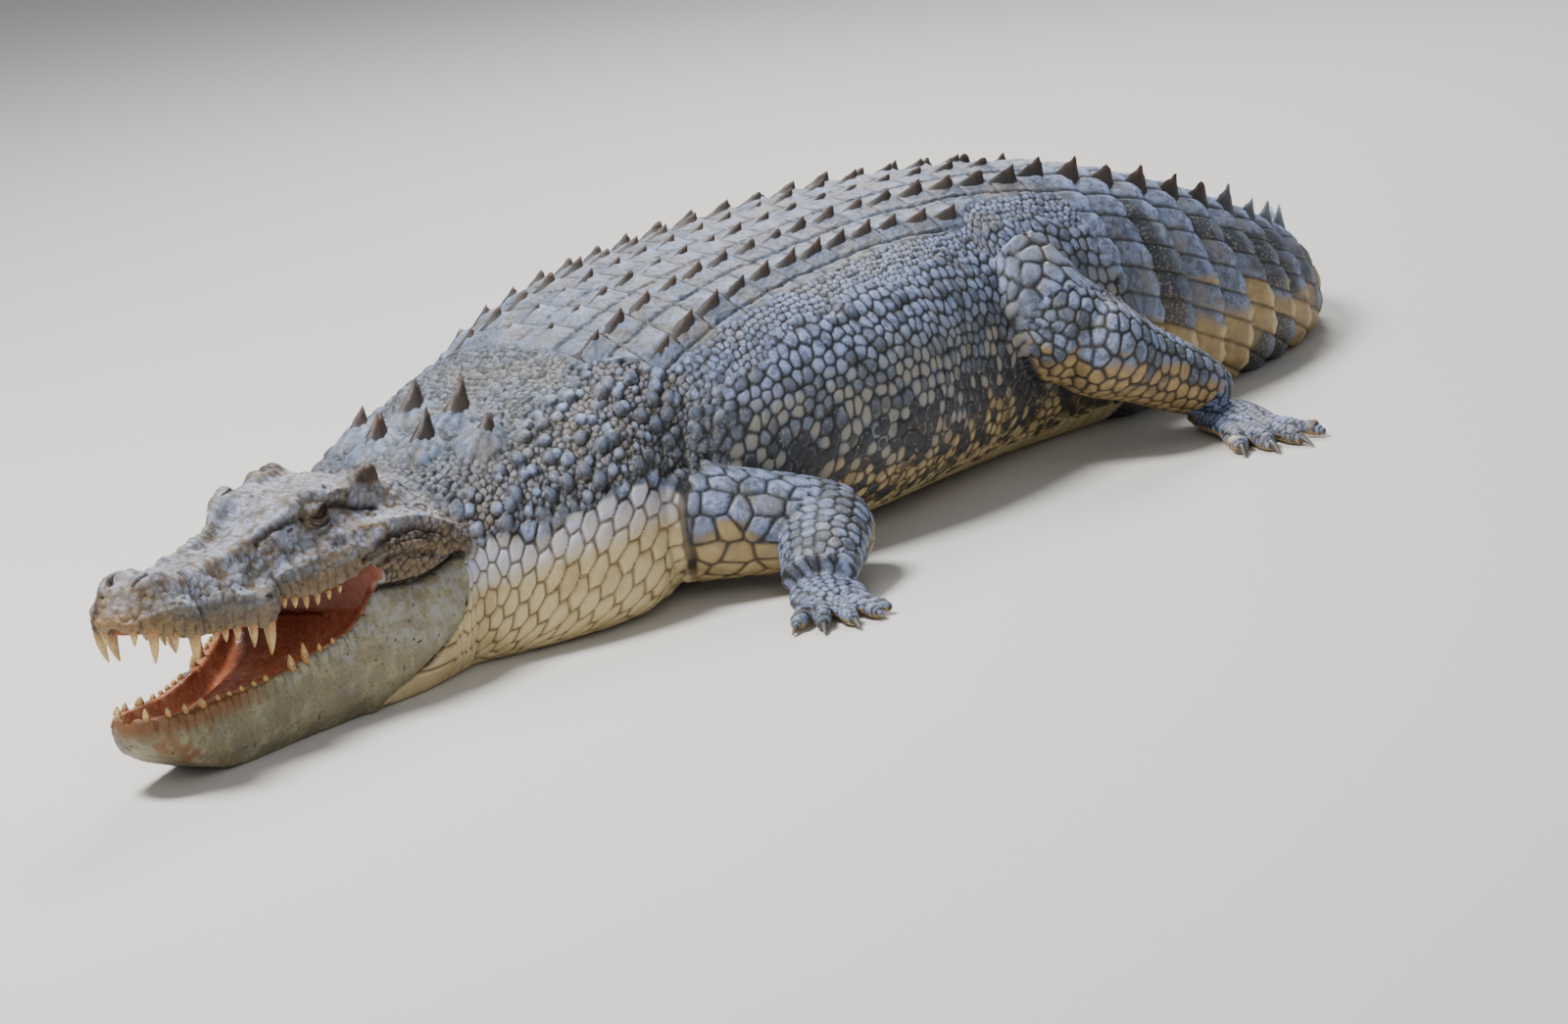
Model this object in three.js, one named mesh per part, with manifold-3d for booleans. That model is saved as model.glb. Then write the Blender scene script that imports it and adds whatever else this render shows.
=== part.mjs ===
// Saltwater crocodile, a big male lying on its belly with its mouth open, as a life-size museum model.
// Millimetres, +Z up. The head points to -X, the animal's left side to -Y. The model stands on Z = 0,
// with the origin under the middle of its box. The body is lofted whole along a curved backbone and is
// parted by thin gaps into the lengths and limbs that a person would name.

import * as THREE from 'three';
import { mergeVertices } from 'three/addons/utils/BufferGeometryUtils.js';
import Module from 'manifold-3d';

const wasm = await Module();
wasm.setup();

// ---- driving dimensions ------------------------------------------------------------------------

const LENGTH = 4500;              // snout tip to tail tip, along the back
const GAP = 0.35;                 // slot between neighbouring pieces
const TRUNK_ORIGIN = 1600;        // the place along the back where the backbone lies on X = Y = 0
const STEP = 10;                  // step in which the backbone curve is summed

// Places along the back are measured from the snout tip.
// Heading of the backbone, degrees: positive turns the animal's forward direction to its right.
const HEADING = [[0, -11.3], [700, -11.3], [900, -4], [1150, -4], [1600, 0], [1850, 9], [2100, 14],
  [2350, 11], [2600, 3], [2850, -13], [3000, -30], [3200, -60], [3400, -88], [3650, -114], [3900, -130],
  [4200, -140], [LENGTH, -144]];
const BACK_HEIGHT = [[660, 298], [720, 306], [800, 328], [900, 350], [1000, 376], [1120, 414], [1350, 450],
  [1600, 463], [1850, 476], [2050, 476], [2250, 454], [2450, 402], [2650, 330], [2850, 252], [3050, 186],
  [3300, 148], [3600, 120], [3900, 94], [4250, 60], [LENGTH, 20]];
const HALF_WIDTH = [[660, 178], [720, 216], [800, 258], [900, 290], [990, 306], [1050, 290], [1120, 288],
  [1250, 328], [1500, 384], [1700, 384], [1900, 338], [2100, 268], [2300, 214], [2600, 164], [2850, 124],
  [3100, 98], [3400, 80], [3800, 56], [4250, 30], [LENGTH, 9]];
// Height of the widest point, as a share of the back height: low where the throat spreads on the floor.
const WIDEST_LEVEL = [[660, 0.40], [760, 0.32], [900, 0.29], [1050, 0.31], [1250, 0.40], [1600, 0.42],
  [2300, 0.42], [2650, 0.33], [3300, 0.33], [LENGTH, 0.42]];
const BELLY_SINK = 14;            // the belly is flattened by the floor as if it had sunk this far
// Exponents of the superellipse halves of a section, above and below the widest level.
const BACK_ROUNDNESS = [[660, 2.2], [1100, 2.3], [2000, 2.3], [2600, 1.95], [2900, 1.8], [3400, 1.8],
  [LENGTH, 2]];
const BELLY_ROUNDNESS = [[660, 2.6], [800, 3.2], [1000, 3.4], [1200, 2.6], [LENGTH, 2.5]];

const AROUND = 20;                // points round one section of the body
const SECTION_STEP = 130;         // spacing of the sections along the body

// Keeled plates of the back and tail.
const FIRST_ROW = 1109;
const ROW_SPACING = 70;
const BACK_ROWS = 16;
const COLUMN_SPACING = 80;
const TAIL_START = FIRST_ROW + BACK_ROWS * ROW_SPACING;
const RING_SPACING = 79.4;
const RINGS = 27;
const SINGLE_CREST_FROM = 15;     // tail rings from here on carry one middle keel

// Cuts between the lengths of the body. Each lies midway between two rows of plates.
const NECK_START = 660;
const behindRow = (row) => FIRST_ROW + (row - 0.5) * ROW_SPACING;
const behindRing = (ring) => TAIL_START + (ring - 0.5) * RING_SPACING;
const BODY_PARTS = [['neck', NECK_START, behindRow(0)], ['chest', behindRow(0), behindRow(5)],
  ['belly', behindRow(5), behindRow(12)], ['hips', behindRow(12), behindRing(1)],
  ['tail_1', behindRing(1), behindRing(6)], ['tail_2', behindRing(6), behindRing(11)],
  ['tail_3', behindRing(11), behindRing(16)], ['tail_4', behindRing(16), behindRing(21)],
  ['tail_5', behindRing(21), LENGTH]];

const KEEL_LEAN = 0.32;           // how far a keel's tip leans back, as a share of its length
const KEEL_SINK = 14;             // how deep a keel is rooted in its plate
// Keels of the neck shield: place along the back, distance from the middle line, length, width, height.
const NECK_KEELS = [[775, 42, 74, 40, 38], [868, 44, 74, 40, 36], [832, 118, 66, 36, 36]];
const TAIL_KEEL = { length: 60, width: 24, height: 34, rise: 1.2, apart: 92, closer: 4.6 };
const CREST_KEEL = { length: 56, width: 18, height: 58, fall: 52 };

// ---- helpers -----------------------------------------------------------------------------------

const rad = THREE.MathUtils.degToRad;

/** Smooth curve through [place, value] knots: cubic pieces whose slopes are the mean of both sides. */
function profile(knots) {
  const slope = (i) => {
    const a = knots[Math.max(i - 1, 0)];
    const b = knots[Math.min(i + 1, knots.length - 1)];
    return (b[1] - a[1]) / (b[0] - a[0]);
  };
  return (x) => {
    if (x <= knots[0][0]) return knots[0][1];
    const last = knots.length - 1;
    if (x >= knots[last][0]) return knots[last][1];
    let i = 0;
    while (x > knots[i + 1][0]) i += 1;
    const [x0, y0] = knots[i];
    const [x1, y1] = knots[i + 1];
    const h = x1 - x0;
    const t = (x - x0) / h;
    const m0 = slope(i) * h;
    const m1 = slope(i + 1) * h;
    return y0 + t * (m0 + t * (3 * (y1 - y0) - 2 * m0 - m1 + t * (m0 + m1 - 2 * (y1 - y0))));
  };
}

const headingAt = profile(HEADING);
const backHeight = profile(BACK_HEIGHT);
const halfWidth = profile(HALF_WIDTH);
const backRoundness = profile(BACK_ROUNDNESS);
const widestLevel = profile(WIDEST_LEVEL);
const bellyRoundness = profile(BELLY_ROUNDNESS);

/** Backbone in plan: points summed from the heading in equal steps, zero at TRUNK_ORIGIN. */
function sumBackbone() {
  const points = [new THREE.Vector2(0, 0)];
  for (let s = 0; s < LENGTH; s += STEP) {
    const a = rad(headingAt(s + STEP / 2));
    const p = points[points.length - 1];
    points.push(new THREE.Vector2(p.x + Math.cos(a) * STEP, p.y - Math.sin(a) * STEP));
  }
  const middle = points[TRUNK_ORIGIN / STEP].clone();
  return points.map((p) => p.sub(middle));
}
const backbone = sumBackbone();

/** A point of the body: place along the back, distance to the animal's left, height. */
function bodyPoint(s, left, z) {
  const i = Math.min(Math.floor(s / STEP), backbone.length - 2);
  const p = backbone[i].clone().lerp(backbone[i + 1], s / STEP - i);
  const a = rad(headingAt(s));
  return new THREE.Vector3(p.x - Math.sin(a) * left, p.y - Math.cos(a) * left, z);
}

/** Closed mesh from rings of equal count; each end is closed by a fan round its own middle. */
function loft(rings) {
  const n = rings[0].length;
  const position = rings.flat().flatMap((p) => [p.x, p.y, p.z]);
  const index = [];
  for (let i = 0; i < rings.length - 1; i += 1) {
    for (let j = 0; j < n; j += 1) {
      const a = i * n + j;
      const b = i * n + (j + 1) % n;
      index.push(a, b, a + n, b, b + n, a + n);
    }
  }
  const middle = (ring) => ring.reduce((m, p) => m.add(p), new THREE.Vector3()).divideScalar(n);
  const first = middle(rings[0]);
  const last = middle(rings[rings.length - 1]);
  const top = rings.length * n;
  position.push(first.x, first.y, first.z, last.x, last.y, last.z);
  for (let j = 0; j < n; j += 1) {
    const k = (j + 1) % n;
    index.push(top, k, j);
    index.push(top + 1, top - n + j, top - n + k);
  }
  const geometry = new THREE.BufferGeometry();
  geometry.setAttribute('position', new THREE.Float32BufferAttribute(position, 3));
  geometry.setIndex(index);
  return geometry;
}

/** Turns a closed three.js geometry into a manifold solid, with its faces pointing out. */
function solid(source) {
  let geometry = source.clone();
  geometry.deleteAttribute('normal');
  geometry.deleteAttribute('uv');
  geometry = mergeVertices(geometry, 1e-3);
  const vertProperties = new Float32Array(geometry.attributes.position.array);
  const triVerts = new Uint32Array(geometry.index.array);
  const made = new wasm.Manifold(new wasm.Mesh({ numProp: 3, vertProperties, triVerts }));
  if (made.volume() > 0) return made;
  for (let i = 0; i < triVerts.length; i += 3) triVerts.subarray(i, i + 3).reverse();
  return new wasm.Manifold(new wasm.Mesh({ numProp: 3, vertProperties, triVerts }));
}

/** The biggest connected piece of a solid, which drops slivers left by a cut. */
function mainPiece(body) {
  return body.decompose().sort((a, b) => b.volume() - a.volume())[0];
}

/** Back to a three.js geometry. */
function geometryOf(body) {
  const mesh = body.getMesh();
  const geometry = new THREE.BufferGeometry();
  geometry.setAttribute('position', new THREE.Float32BufferAttribute(Array.from(mesh.vertProperties), 3));
  geometry.setIndex(Array.from(mesh.triVerts));
  return geometry;
}

// ---- body --------------------------------------------------------------------------------------

/** Height of the back at a distance from the middle line. */
function backSurface(s, left) {
  const n = backRoundness(s);
  const level = backHeight(s) * widestLevel(s);
  const share = Math.min(Math.abs(left) / halfWidth(s), 0.999);
  return level + (backHeight(s) - level) * (1 - share ** n) ** (1 / n);
}

/** One section of the body: superellipse halves above and below the widest level, flat on the floor. */
function bodySection(s, grow) {
  const width = halfWidth(s) + grow;
  const height = backHeight(s) + grow;
  const level = backHeight(s) * widestLevel(s);
  const ring = [];
  for (let j = 0; j < AROUND; j += 1) {
    const a = (j / AROUND) * 2 * Math.PI;
    const above = Math.cos(a) > 0;
    const n = above ? backRoundness(s) : bellyRoundness(s);
    const reach = above ? height - level : level + BELLY_SINK + grow;
    const left = width * Math.sign(Math.sin(a)) * Math.abs(Math.sin(a)) ** (2 / n);
    const z = level + reach * Math.sign(Math.cos(a)) * Math.abs(Math.cos(a)) ** (2 / n);
    ring.push(bodyPoint(s, left, Math.max(z, -grow)));
  }
  return ring;
}

/** One length of the body. A grown copy is thicker all over and reaches over the slots at its ends. */
function bodyLength(from, to, grow = 0) {
  const steps = Math.max(1, Math.round((to - from) / SECTION_STEP));
  const rings = [];
  for (let i = 0; i <= steps; i += 1) {
    let s = from + ((to - from) * i) / steps;
    if (i === 0) s -= grow;
    if (i === steps) s += grow;
    rings.push(bodySection(s, grow));
  }
  return solid(loft(rings));
}

/** A keel: a four-sided spike whose tip leans back, sunk into the plate that carries it. */
function keel(s, left, length, width, height) {
  const spike = new THREE.ConeGeometry(Math.SQRT1_2, 1, 4);
  spike.rotateY(Math.PI / 4);
  spike.rotateX(Math.PI / 2);
  spike.translate(0, 0, 0.5);
  const lean = KEEL_LEAN * length;
  spike.applyMatrix4(new THREE.Matrix4().set(length, 0, lean, 0, 0, width, 0, 0, 0, 0, height + KEEL_SINK, 0,
    0, 0, 0, 1));
  spike.rotateZ(-rad(headingAt(s)));
  const foot = bodyPoint(s, left, backSurface(s, left) - KEEL_SINK);
  spike.translate(foot.x, foot.y, foot.z);
  return solid(spike);
}

/** Keels of the neck, back and tail, each with the place along the back that it stands at. */
function allKeels() {
  const made = [];
  const pair = (s, left, length, width, height) => {
    for (const side of [1, -1]) made.push({ s, body: keel(s, side * left, length, width, height) });
  };
  for (const plate of NECK_KEELS) pair(...plate);
  for (let row = 0; row < BACK_ROWS; row += 1) {
    const s = FIRST_ROW + row * ROW_SPACING;
    const hips = THREE.MathUtils.clamp((row - 12) / 4, 0, 1);
    const apart = COLUMN_SPACING * (1 - 0.12 * hips);
    pair(s, 0.5 * apart, 58, 26, 20);
    pair(s, 1.5 * apart, 60, 30, 24 + 4 * hips);
    if (row > 0 && row < 13) pair(s, 2.5 * apart, 58, 28, 24);
  }
  for (let ring = 0; ring < RINGS; ring += 1) {
    const s = TAIL_START + ring * RING_SPACING;
    if (ring < SINGLE_CREST_FROM) {
      const { length, width, height, rise, apart, closer } = TAIL_KEEL;
      pair(s, apart - closer * ring, length, width, height + rise * ring);
    } else {
      const { length, width, height, fall } = CREST_KEEL;
      made.push({ s, body: keel(s, 0, length, width, height - fall * (ring / RINGS - 0.5)) });
    }
  }
  return made;
}
const keels = allKeels();

/** Start and end of a body part, with half a slot taken off where it has a neighbour. */
function endsOf(from, to) {
  return [from === BODY_PARTS[0][1] ? from + GAP : from + GAP / 2, to === LENGTH ? to : to - GAP / 2];
}

/** A length of the body with its keels joined on. */
function bodyPart(from, to) {
  return keels
    .filter((k) => k.s > from && k.s < to)
    .reduce((body, k) => body.add(k.body), bodyLength(...endsOf(from, to)));
}

// ---- head --------------------------------------------------------------------------------------

// The head and lower jaw are sections at the same places behind the snout tip. Heights are above the floor.
const STATIONS = [4, 14, 34, 62, 95, 125, 160, 205, 245, 285, 330, 375, 420, 460, 510, 565, 612, 660];
const MOUTH_CORNER = 460;
// Upper head, from the middle of the top outwards: the flat top and its edge, the step below the eyes,
// the widest line of the cheek, and the lip.
const headTop = profile([[4, 262], [14, 282], [34, 299], [62, 305], [95, 293], [125, 285], [160, 283],
  [205, 288], [285, 294], [330, 301], [375, 314], [420, 327], [460, 329], [565, 328], [612, 318],
  [660, 292]]);
const plateauHalf = profile([[4, 10], [34, 34], [62, 40], [125, 30], [205, 38], [285, 42], [330, 48],
  [420, 60], [510, 68], [612, 78], [660, 60]]);
const plateauEdge = profile([[4, 260], [34, 296], [62, 300], [125, 282], [205, 286], [285, 297], [330, 307],
  [375, 322], [420, 338], [460, 336], [510, 326], [565, 332], [612, 318], [660, 288]]);
const stepHalf = profile([[4, 16], [34, 52], [62, 61], [95, 60], [125, 50], [205, 68], [285, 74], [375, 82],
  [420, 86], [510, 104], [612, 136], [660, 140]]);
const stepHeight = profile([[4, 254], [34, 272], [62, 276], [125, 262], [285, 262], [330, 266], [375, 276],
  [420, 286], [510, 280], [612, 262], [660, 238]]);
const cheekHalf = profile([[4, 20], [14, 40], [34, 62], [62, 76], [95, 79], [125, 66], [160, 72], [205, 86],
  [245, 97], [285, 93], [330, 103], [375, 117], [420, 131], [460, 143], [510, 157], [565, 168], [660, 173]]);
const cheekHeight = profile([[4, 248], [62, 244], [125, 228], [245, 216], [285, 228], [375, 230], [460, 244],
  [510, 238], [612, 214], [660, 200]]);
const lipHeight = profile([[4, 241], [34, 229], [62, 220], [95, 210], [125, 203], [205, 193], [245, 186],
  [285, 208], [330, 201], [375, 199], [420, 206], [460, 217], [510, 210], [565, 198], [612, 186],
  [660, 172]]);
// Lower jaw: its rim, half width and underside.
const rimHeight = profile([[4, 116], [34, 116], [95, 110], [205, 108], [285, 112], [330, 120], [375, 128],
  [420, 146]]);
const jawHalf = profile([[4, 14], [14, 34], [34, 52], [62, 60], [125, 63], [160, 67], [205, 76], [285, 92],
  [330, 102], [375, 116], [420, 130], [460, 144], [510, 160], [565, 172], [660, 173]]);
const jawBottom = profile([[4, 92], [14, 76], [34, 60], [62, 44], [95, 28], [125, 16], [160, 5], [205, 0],
  [250, 0], [660, 0]]);
const LIP_THICKNESS = 18;
const PALATE_RISE = 26;           // the palate lies this far above the upper lip
const FLOOR_DROP = 34;            // the mouth floor lies this far below the jaw's rim

/** A ring that is the same on both sides, from its left half, given from the top middle to the bottom. */
function mirroredRing(d, half) {
  const left = half.map(([y, z]) => bodyPoint(d, y, z));
  const right = half.slice(1, -1).reverse().map(([y, z]) => bodyPoint(d, -y, z));
  return left.concat(right);
}

function headUpper() {
  const rings = STATIONS.map((d) => {
    const inside = d < MOUTH_CORNER;
    const lip = lipHeight(d);
    const cheek = cheekHalf(d);
    const rise = inside ? PALATE_RISE * Math.min(1, (d + 6) / 60) : 0;
    return mirroredRing(d, [[0, headTop(d)], [plateauHalf(d), plateauEdge(d)], [stepHalf(d), stepHeight(d)],
      [(stepHalf(d) + cheek) / 2 + 4, (stepHeight(d) + cheekHeight(d)) / 2 + 4], [cheek, cheekHeight(d)],
      [cheek - 2, lip + 2], [Math.max(cheek - LIP_THICKNESS, cheek * 0.6), lip],
      [Math.max(cheek - LIP_THICKNESS - 14, cheek * 0.3), lip + rise], [0, lip + rise]]);
  });
  return solid(loft(rings));
}

function lowerJaw() {
  const rings = STATIONS.map((d) => {
    const inside = d < MOUTH_CORNER;
    const rim = inside ? rimHeight(d) : lipHeight(d) - GAP;
    const w = jawHalf(d);
    const drop = inside ? FLOOR_DROP * Math.min(1, (d + 4) / 70) : 0;
    const bottom = jawBottom(d);
    const middle = (rim + bottom) / 2;
    return mirroredRing(d, [[0, rim - drop], [Math.max(w - LIP_THICKNESS - 12, w * 0.3), rim - drop],
      [Math.max(w - LIP_THICKNESS, w * 0.6), rim], [w - 3, rim - 3], [w, middle],
      [w * 0.94, bottom + (middle - bottom) * 0.4], [w * 0.78, bottom], [0, bottom]]);
  });
  return solid(loft(rings));
}

// Teeth of one side: place behind the snout tip, length, thickness.
const UPPER_TEETH = [[10, 20, 10], [26, 42, 15], [52, 22, 10], [86, 38, 17], [168, 16, 9], [188, 18, 10],
  [214, 30, 13], [243, 44, 17], [305, 14, 9], [330, 16, 9], [352, 15, 9]];
const LOWER_TEETH = [[14, 16, 10], [66, 14, 9], [104, 30, 14], [236, 12, 8], [290, 18, 10], [316, 22, 11]];

/** A tooth: a slim cone that starts inside the gum. Up is +1 for the lower jaw, -1 for the upper. */
function tooth(d, left, root, length, thickness, up) {
  const buried = 9;
  const cone = new THREE.ConeGeometry(thickness / 2, length + buried, 4);
  cone.translate(0, (length + buried) / 2 - buried, 0);
  cone.rotateX(up * Math.PI / 2);
  const foot = bodyPoint(d, left, root);
  cone.translate(foot.x, foot.y, foot.z);
  return solid(cone);
}

/** A jaw with the teeth of both sides joined on along its edge. */
function withTeeth(jaw, teeth, half, edge, up) {
  let body = jaw;
  for (const [d, length, thickness] of teeth) {
    for (const side of [1, -1]) {
      const left = side * Math.max(half(d) - LIP_THICKNESS * 0.55, half(d) * 0.75);
      body = body.add(tooth(d + 4, left, edge(d), length, thickness, up));
    }
  }
  return body;
}

const EYE_RADIUS = 21;
const EYE_PLACE = { d: 412, left: 72, z: 307 };
const TONGUE_HEIGHT = 15;

function eye(side, radius) {
  const ball = new THREE.SphereGeometry(radius, 10, 7);
  const centre = bodyPoint(EYE_PLACE.d, side * EYE_PLACE.left, EYE_PLACE.z);
  ball.translate(centre.x, centre.y, centre.z);
  return solid(ball);
}

/** The tongue lies on the mouth floor between the same stations as the jaw. */
function tongue() {
  const rings = STATIONS.filter((d) => d > 120 && d < 430).map((d) => {
    const floor = rimHeight(d) - FLOOR_DROP + GAP;
    const half = jawHalf(d) * 0.5;
    const height = TONGUE_HEIGHT * Math.min(1, (d - 100) / 60);
    return mirroredRing(d, [[0, floor + height], [half * 0.6, floor + height * 0.9], [half, floor + 3],
      [half * 0.95, floor], [0, floor]]);
  });
  return solid(loft(rings));
}

// ---- limbs -------------------------------------------------------------------------------------

const LIMB_AROUND = 10;           // points round one section of a limb
const TOE_AROUND = 6;

/** A limb length swept along stops; each has its middle, half width across and half depth. */
function sweep(stops, around, grow = 0) {
  const centres = stops.map((k) => new THREE.Vector3(...k.at));
  const rings = stops.map((k, i) => {
    const ahead = centres[Math.min(i + 1, stops.length - 1)].clone();
    const along = ahead.sub(centres[Math.max(i - 1, 0)]).normalize();
    const across = new THREE.Vector3(0, 0, 1).cross(along).normalize();
    const out = along.clone().cross(across);
    const ring = [];
    for (let j = 0; j < around; j += 1) {
      const a = (j / around) * 2 * Math.PI;
      ring.push(centres[i].clone()
        .addScaledVector(across, Math.cos(a) * (k.wide + grow))
        .addScaledVector(out, Math.sin(a) * (k.deep + grow)));
    }
    return ring;
  });
  return solid(loft(rings));
}

const UP = [0, 0, 1];

/** Cuts off what would be under the floor. */
function onFloor(body) {
  return body.trimByPlane(UP, 0);
}

/** Parts a limb into lengths at planes square to it, each slot GAP wide. */
function partLimb(body, cuts) {
  const pieces = [];
  let rest = body;
  for (const { at, along } of cuts) {
    const n = new THREE.Vector3(...along).normalize();
    const offset = n.dot(new THREE.Vector3(...at));
    pieces.push(mainPiece(rest.trimByPlane([-n.x, -n.y, -n.z], -offset + GAP / 2)));
    rest = rest.trimByPlane([n.x, n.y, n.z], offset + GAP / 2);
  }
  pieces.push(mainPiece(rest));
  return pieces;
}

// Limbs: the names of their lengths, the joints at root, bend and end as place along the back, distance to
// the animal's own side and height, and the way that the hand or foot points.
const SIDES = { left: 1, right: -1 };
const FRONT_LIMBS = [
  { side: 'left', joints: [[1075, 220, 130], [1262, 418, 88], [1094, 508, 50]], toward: [-0.53, -0.85, 0] },
  { side: 'right', joints: [[1075, 220, 130], [1270, 412, 88], [1128, 518, 50]], toward: [-0.7, 0.72, 0] },
];
const HIND_LIMBS = [
  { side: 'left', joints: [[2045, 200, 284], [2105, 325, 205], [2350, 345, 66]], toward: [-0.42, -0.9, 0] },
  { side: 'right', joints: [[2045, 200, 284], [2085, 330, 205], [2315, 368, 66]], toward: [-0.2, 0.98, 0] },
];
// Half width and half depth of a limb at its root, middle, bend, below the bend, and end; palm and heel.
const ARM = { root: [96, 100], upper: [84, 86], bend: [74, 70], lower: [72, 62], end: [60, 38], palm: 62,
  palmLength: 62, heel: 30 };
const LEG = { root: [126, 122], upper: [114, 106], bend: [92, 84], lower: [80, 68], end: [52, 44], palm: 60,
  palmLength: 118, heel: 40 };
// Toes from the inner side outwards: turn from the middle line, length, half thickness, sideways shift
// of the root, and claw length. The outer toes have no claw.
const HAND_TOES = [
  { turn: -0.62, length: 62, thick: 14, shift: -44, claw: 24 },
  { turn: -0.28, length: 78, thick: 15, shift: -24, claw: 26 },
  { turn: 0.02, length: 84, thick: 15, shift: -2, claw: 26 },
  { turn: 0.34, length: 78, thick: 13, shift: 20, claw: 0 },
  { turn: 0.55, length: 60, thick: 11, shift: 38, claw: 0 },
];
const FOOT_TOES = [
  { turn: -0.34, length: 92, thick: 18, shift: -44, claw: 30 },
  { turn: -0.12, length: 112, thick: 18, shift: -18, claw: 32 },
  { turn: 0.12, length: 116, thick: 17, shift: 10, claw: 30 },
  { turn: 0.42, length: 104, thick: 13, shift: 36, claw: 0 },
];

const WRIST_CUT = 0.86;           // the hand is parted off this share of the way down the lower length

const between = (a, b, t) => a.map((v, i) => v + (b[i] - v) * t);
const minus = (a, b) => a.map((v, i) => v - b[i]);

/** One toe along the floor, from its root to its tip. */
function toe(start, dir, length, thick, grow = 0) {
  const stop = (share, z, wide) => {
    const p = start.clone().addScaledVector(dir, length * share);
    return { at: [p.x, p.y, z], wide, deep: wide * 0.9 };
  };
  return sweep([stop(-0.2, 22, thick), stop(0.5, 18, thick * 0.9), stop(0.92, 11, thick * 0.68),
    stop(1, 9, thick * 0.4)], TOE_AROUND, grow);
}

/** A claw: a flattened cone that points along the toe and a little down. */
function claw(start, dir, length, thick, clawLength) {
  const hook = new THREE.ConeGeometry(thick * 0.42, clawLength, TOE_AROUND);
  hook.rotateZ(-Math.PI / 2);
  hook.scale(1, 0.8, 1);
  hook.rotateY(0.22);
  hook.rotateZ(Math.atan2(dir.y, dir.x));
  const p = start.clone().addScaledVector(dir, length + clawLength / 2 - 8);
  hook.translate(p.x, p.y, 11);
  return solid(hook);
}

// The lengths of the body that limbs grow from, grown by the gap that the limbs keep.
const trunkGrown = BODY_PARTS.slice(0, 6)
  .map(([, from, to]) => bodyLength(...endsOf(from, to), GAP))
  .reduce((a, b) => a.add(b));

/** The palm or sole lies flat on the floor from behind the joint to the roots of the toes. */
function soleOf(palm, dir, girth) {
  const stop = (reach, z, share, deep) => ({
    at: palm.clone().addScaledVector(dir, reach).setZ(z).toArray(),
    wide: girth.palm * share,
    deep,
  });
  return sweep([stop(-girth.heel, 22, 0.6, 20), stop(0, 28, 0.82, 30),
    stop(girth.palmLength * 0.5, 26, 1, 27), stop(girth.palmLength, 20, 0.94, 21)], LIMB_AROUND);
}

/** The upper and lower length of a limb: two straight tapered tubes that join at the elbow or knee. */
function shaftOf([root, bend, end], girth) {
  const stops = (a, b, plan) => plan.map(([share, [wide, deep], scale]) => ({
    at: between(a, b, share),
    wide: wide * scale,
    deep: deep * scale,
  }));
  const upper = stops(root, bend, [[0, girth.root, 1], [0.5, girth.upper, 1], [0.95, girth.bend, 1],
    [1.12, girth.bend, 0.8], [1.22, girth.bend, 0.4]]);
  const lower = stops(bend, end, [[-0.14, girth.bend, 0.5], [0.05, girth.bend, 0.98], [0.45, girth.lower, 1],
    [0.8, girth.lower, 0.86], [1, girth.end, 1]]);
  return sweep(upper, LIMB_AROUND).add(sweep(lower, LIMB_AROUND));
}

/** A limb of three lengths and its claws, as named solids. */
function limb(names, plan, girth, toePlan) {
  const side = SIDES[plan.side];
  const [root, bend, end] = plan.joints.map(([s, out, z]) => bodyPoint(s, side * out, z).toArray());
  const dir = new THREE.Vector3(...plan.toward).normalize();
  const palm = new THREE.Vector3(end[0], end[1], 0);
  const tip = palm.clone().addScaledVector(dir, girth.palmLength);
  const across = new THREE.Vector3(-dir.y, dir.x, 0);
  const solids = {};
  let whole = shaftOf([root, bend, end], girth).add(soleOf(palm, dir, girth));
  toePlan.forEach((digit, i) => {
    const line = dir.clone().applyAxisAngle(new THREE.Vector3(...UP), side * digit.turn);
    const start = tip.clone().addScaledVector(across, side * digit.shift);
    whole = whole.add(toe(start, line, digit.length, digit.thick));
    if (digit.claw === 0) return;
    const sheath = toe(start, line, digit.length, digit.thick, GAP);
    const nail = claw(start, line, digit.length, digit.thick, digit.claw);
    solids[`${names[2]}_claw_${i + 1}`] = mainPiece(onFloor(nail.subtract(sheath)));
  });
  const upper = new THREE.Vector3(...minus(bend, root)).normalize();
  const lower = new THREE.Vector3(...minus(end, bend)).normalize();
  const cuts = [{ at: bend, along: upper.clone().add(lower).toArray() },
    { at: between(bend, end, WRIST_CUT), along: lower.clone().add(dir).toArray() }];
  partLimb(onFloor(whole).subtract(trunkGrown), cuts).forEach((piece, i) => {
    solids[names[i]] = piece;
  });
  return solids;
}

// ---- the model ---------------------------------------------------------------------------------

const COLOURS = { back: 0x5d6468, flank: 0x6f6a5a, head: 0x7d786c, jaw: 0xb0a384, mouth: 0xb5634a,
  eye: 0x2a1d14, claw: 0x3b3a36 };

const SKIN_ROUGHNESS = 0.75;
const EYE_ROUGHNESS = 0.15;

function named(name, body, colour) {
  const roughness = colour === COLOURS.eye ? EYE_ROUGHNESS : SKIN_ROUGHNESS;
  const material = new THREE.MeshStandardMaterial({ color: colour, roughness, metalness: 0 });
  const mesh = new THREE.Mesh(geometryOf(body), material);
  mesh.name = name;
  return mesh;
}

function trunkMeshes() {
  return BODY_PARTS.map(([name, from, to]) => named(name, bodyPart(from, to), COLOURS.back));
}

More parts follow.
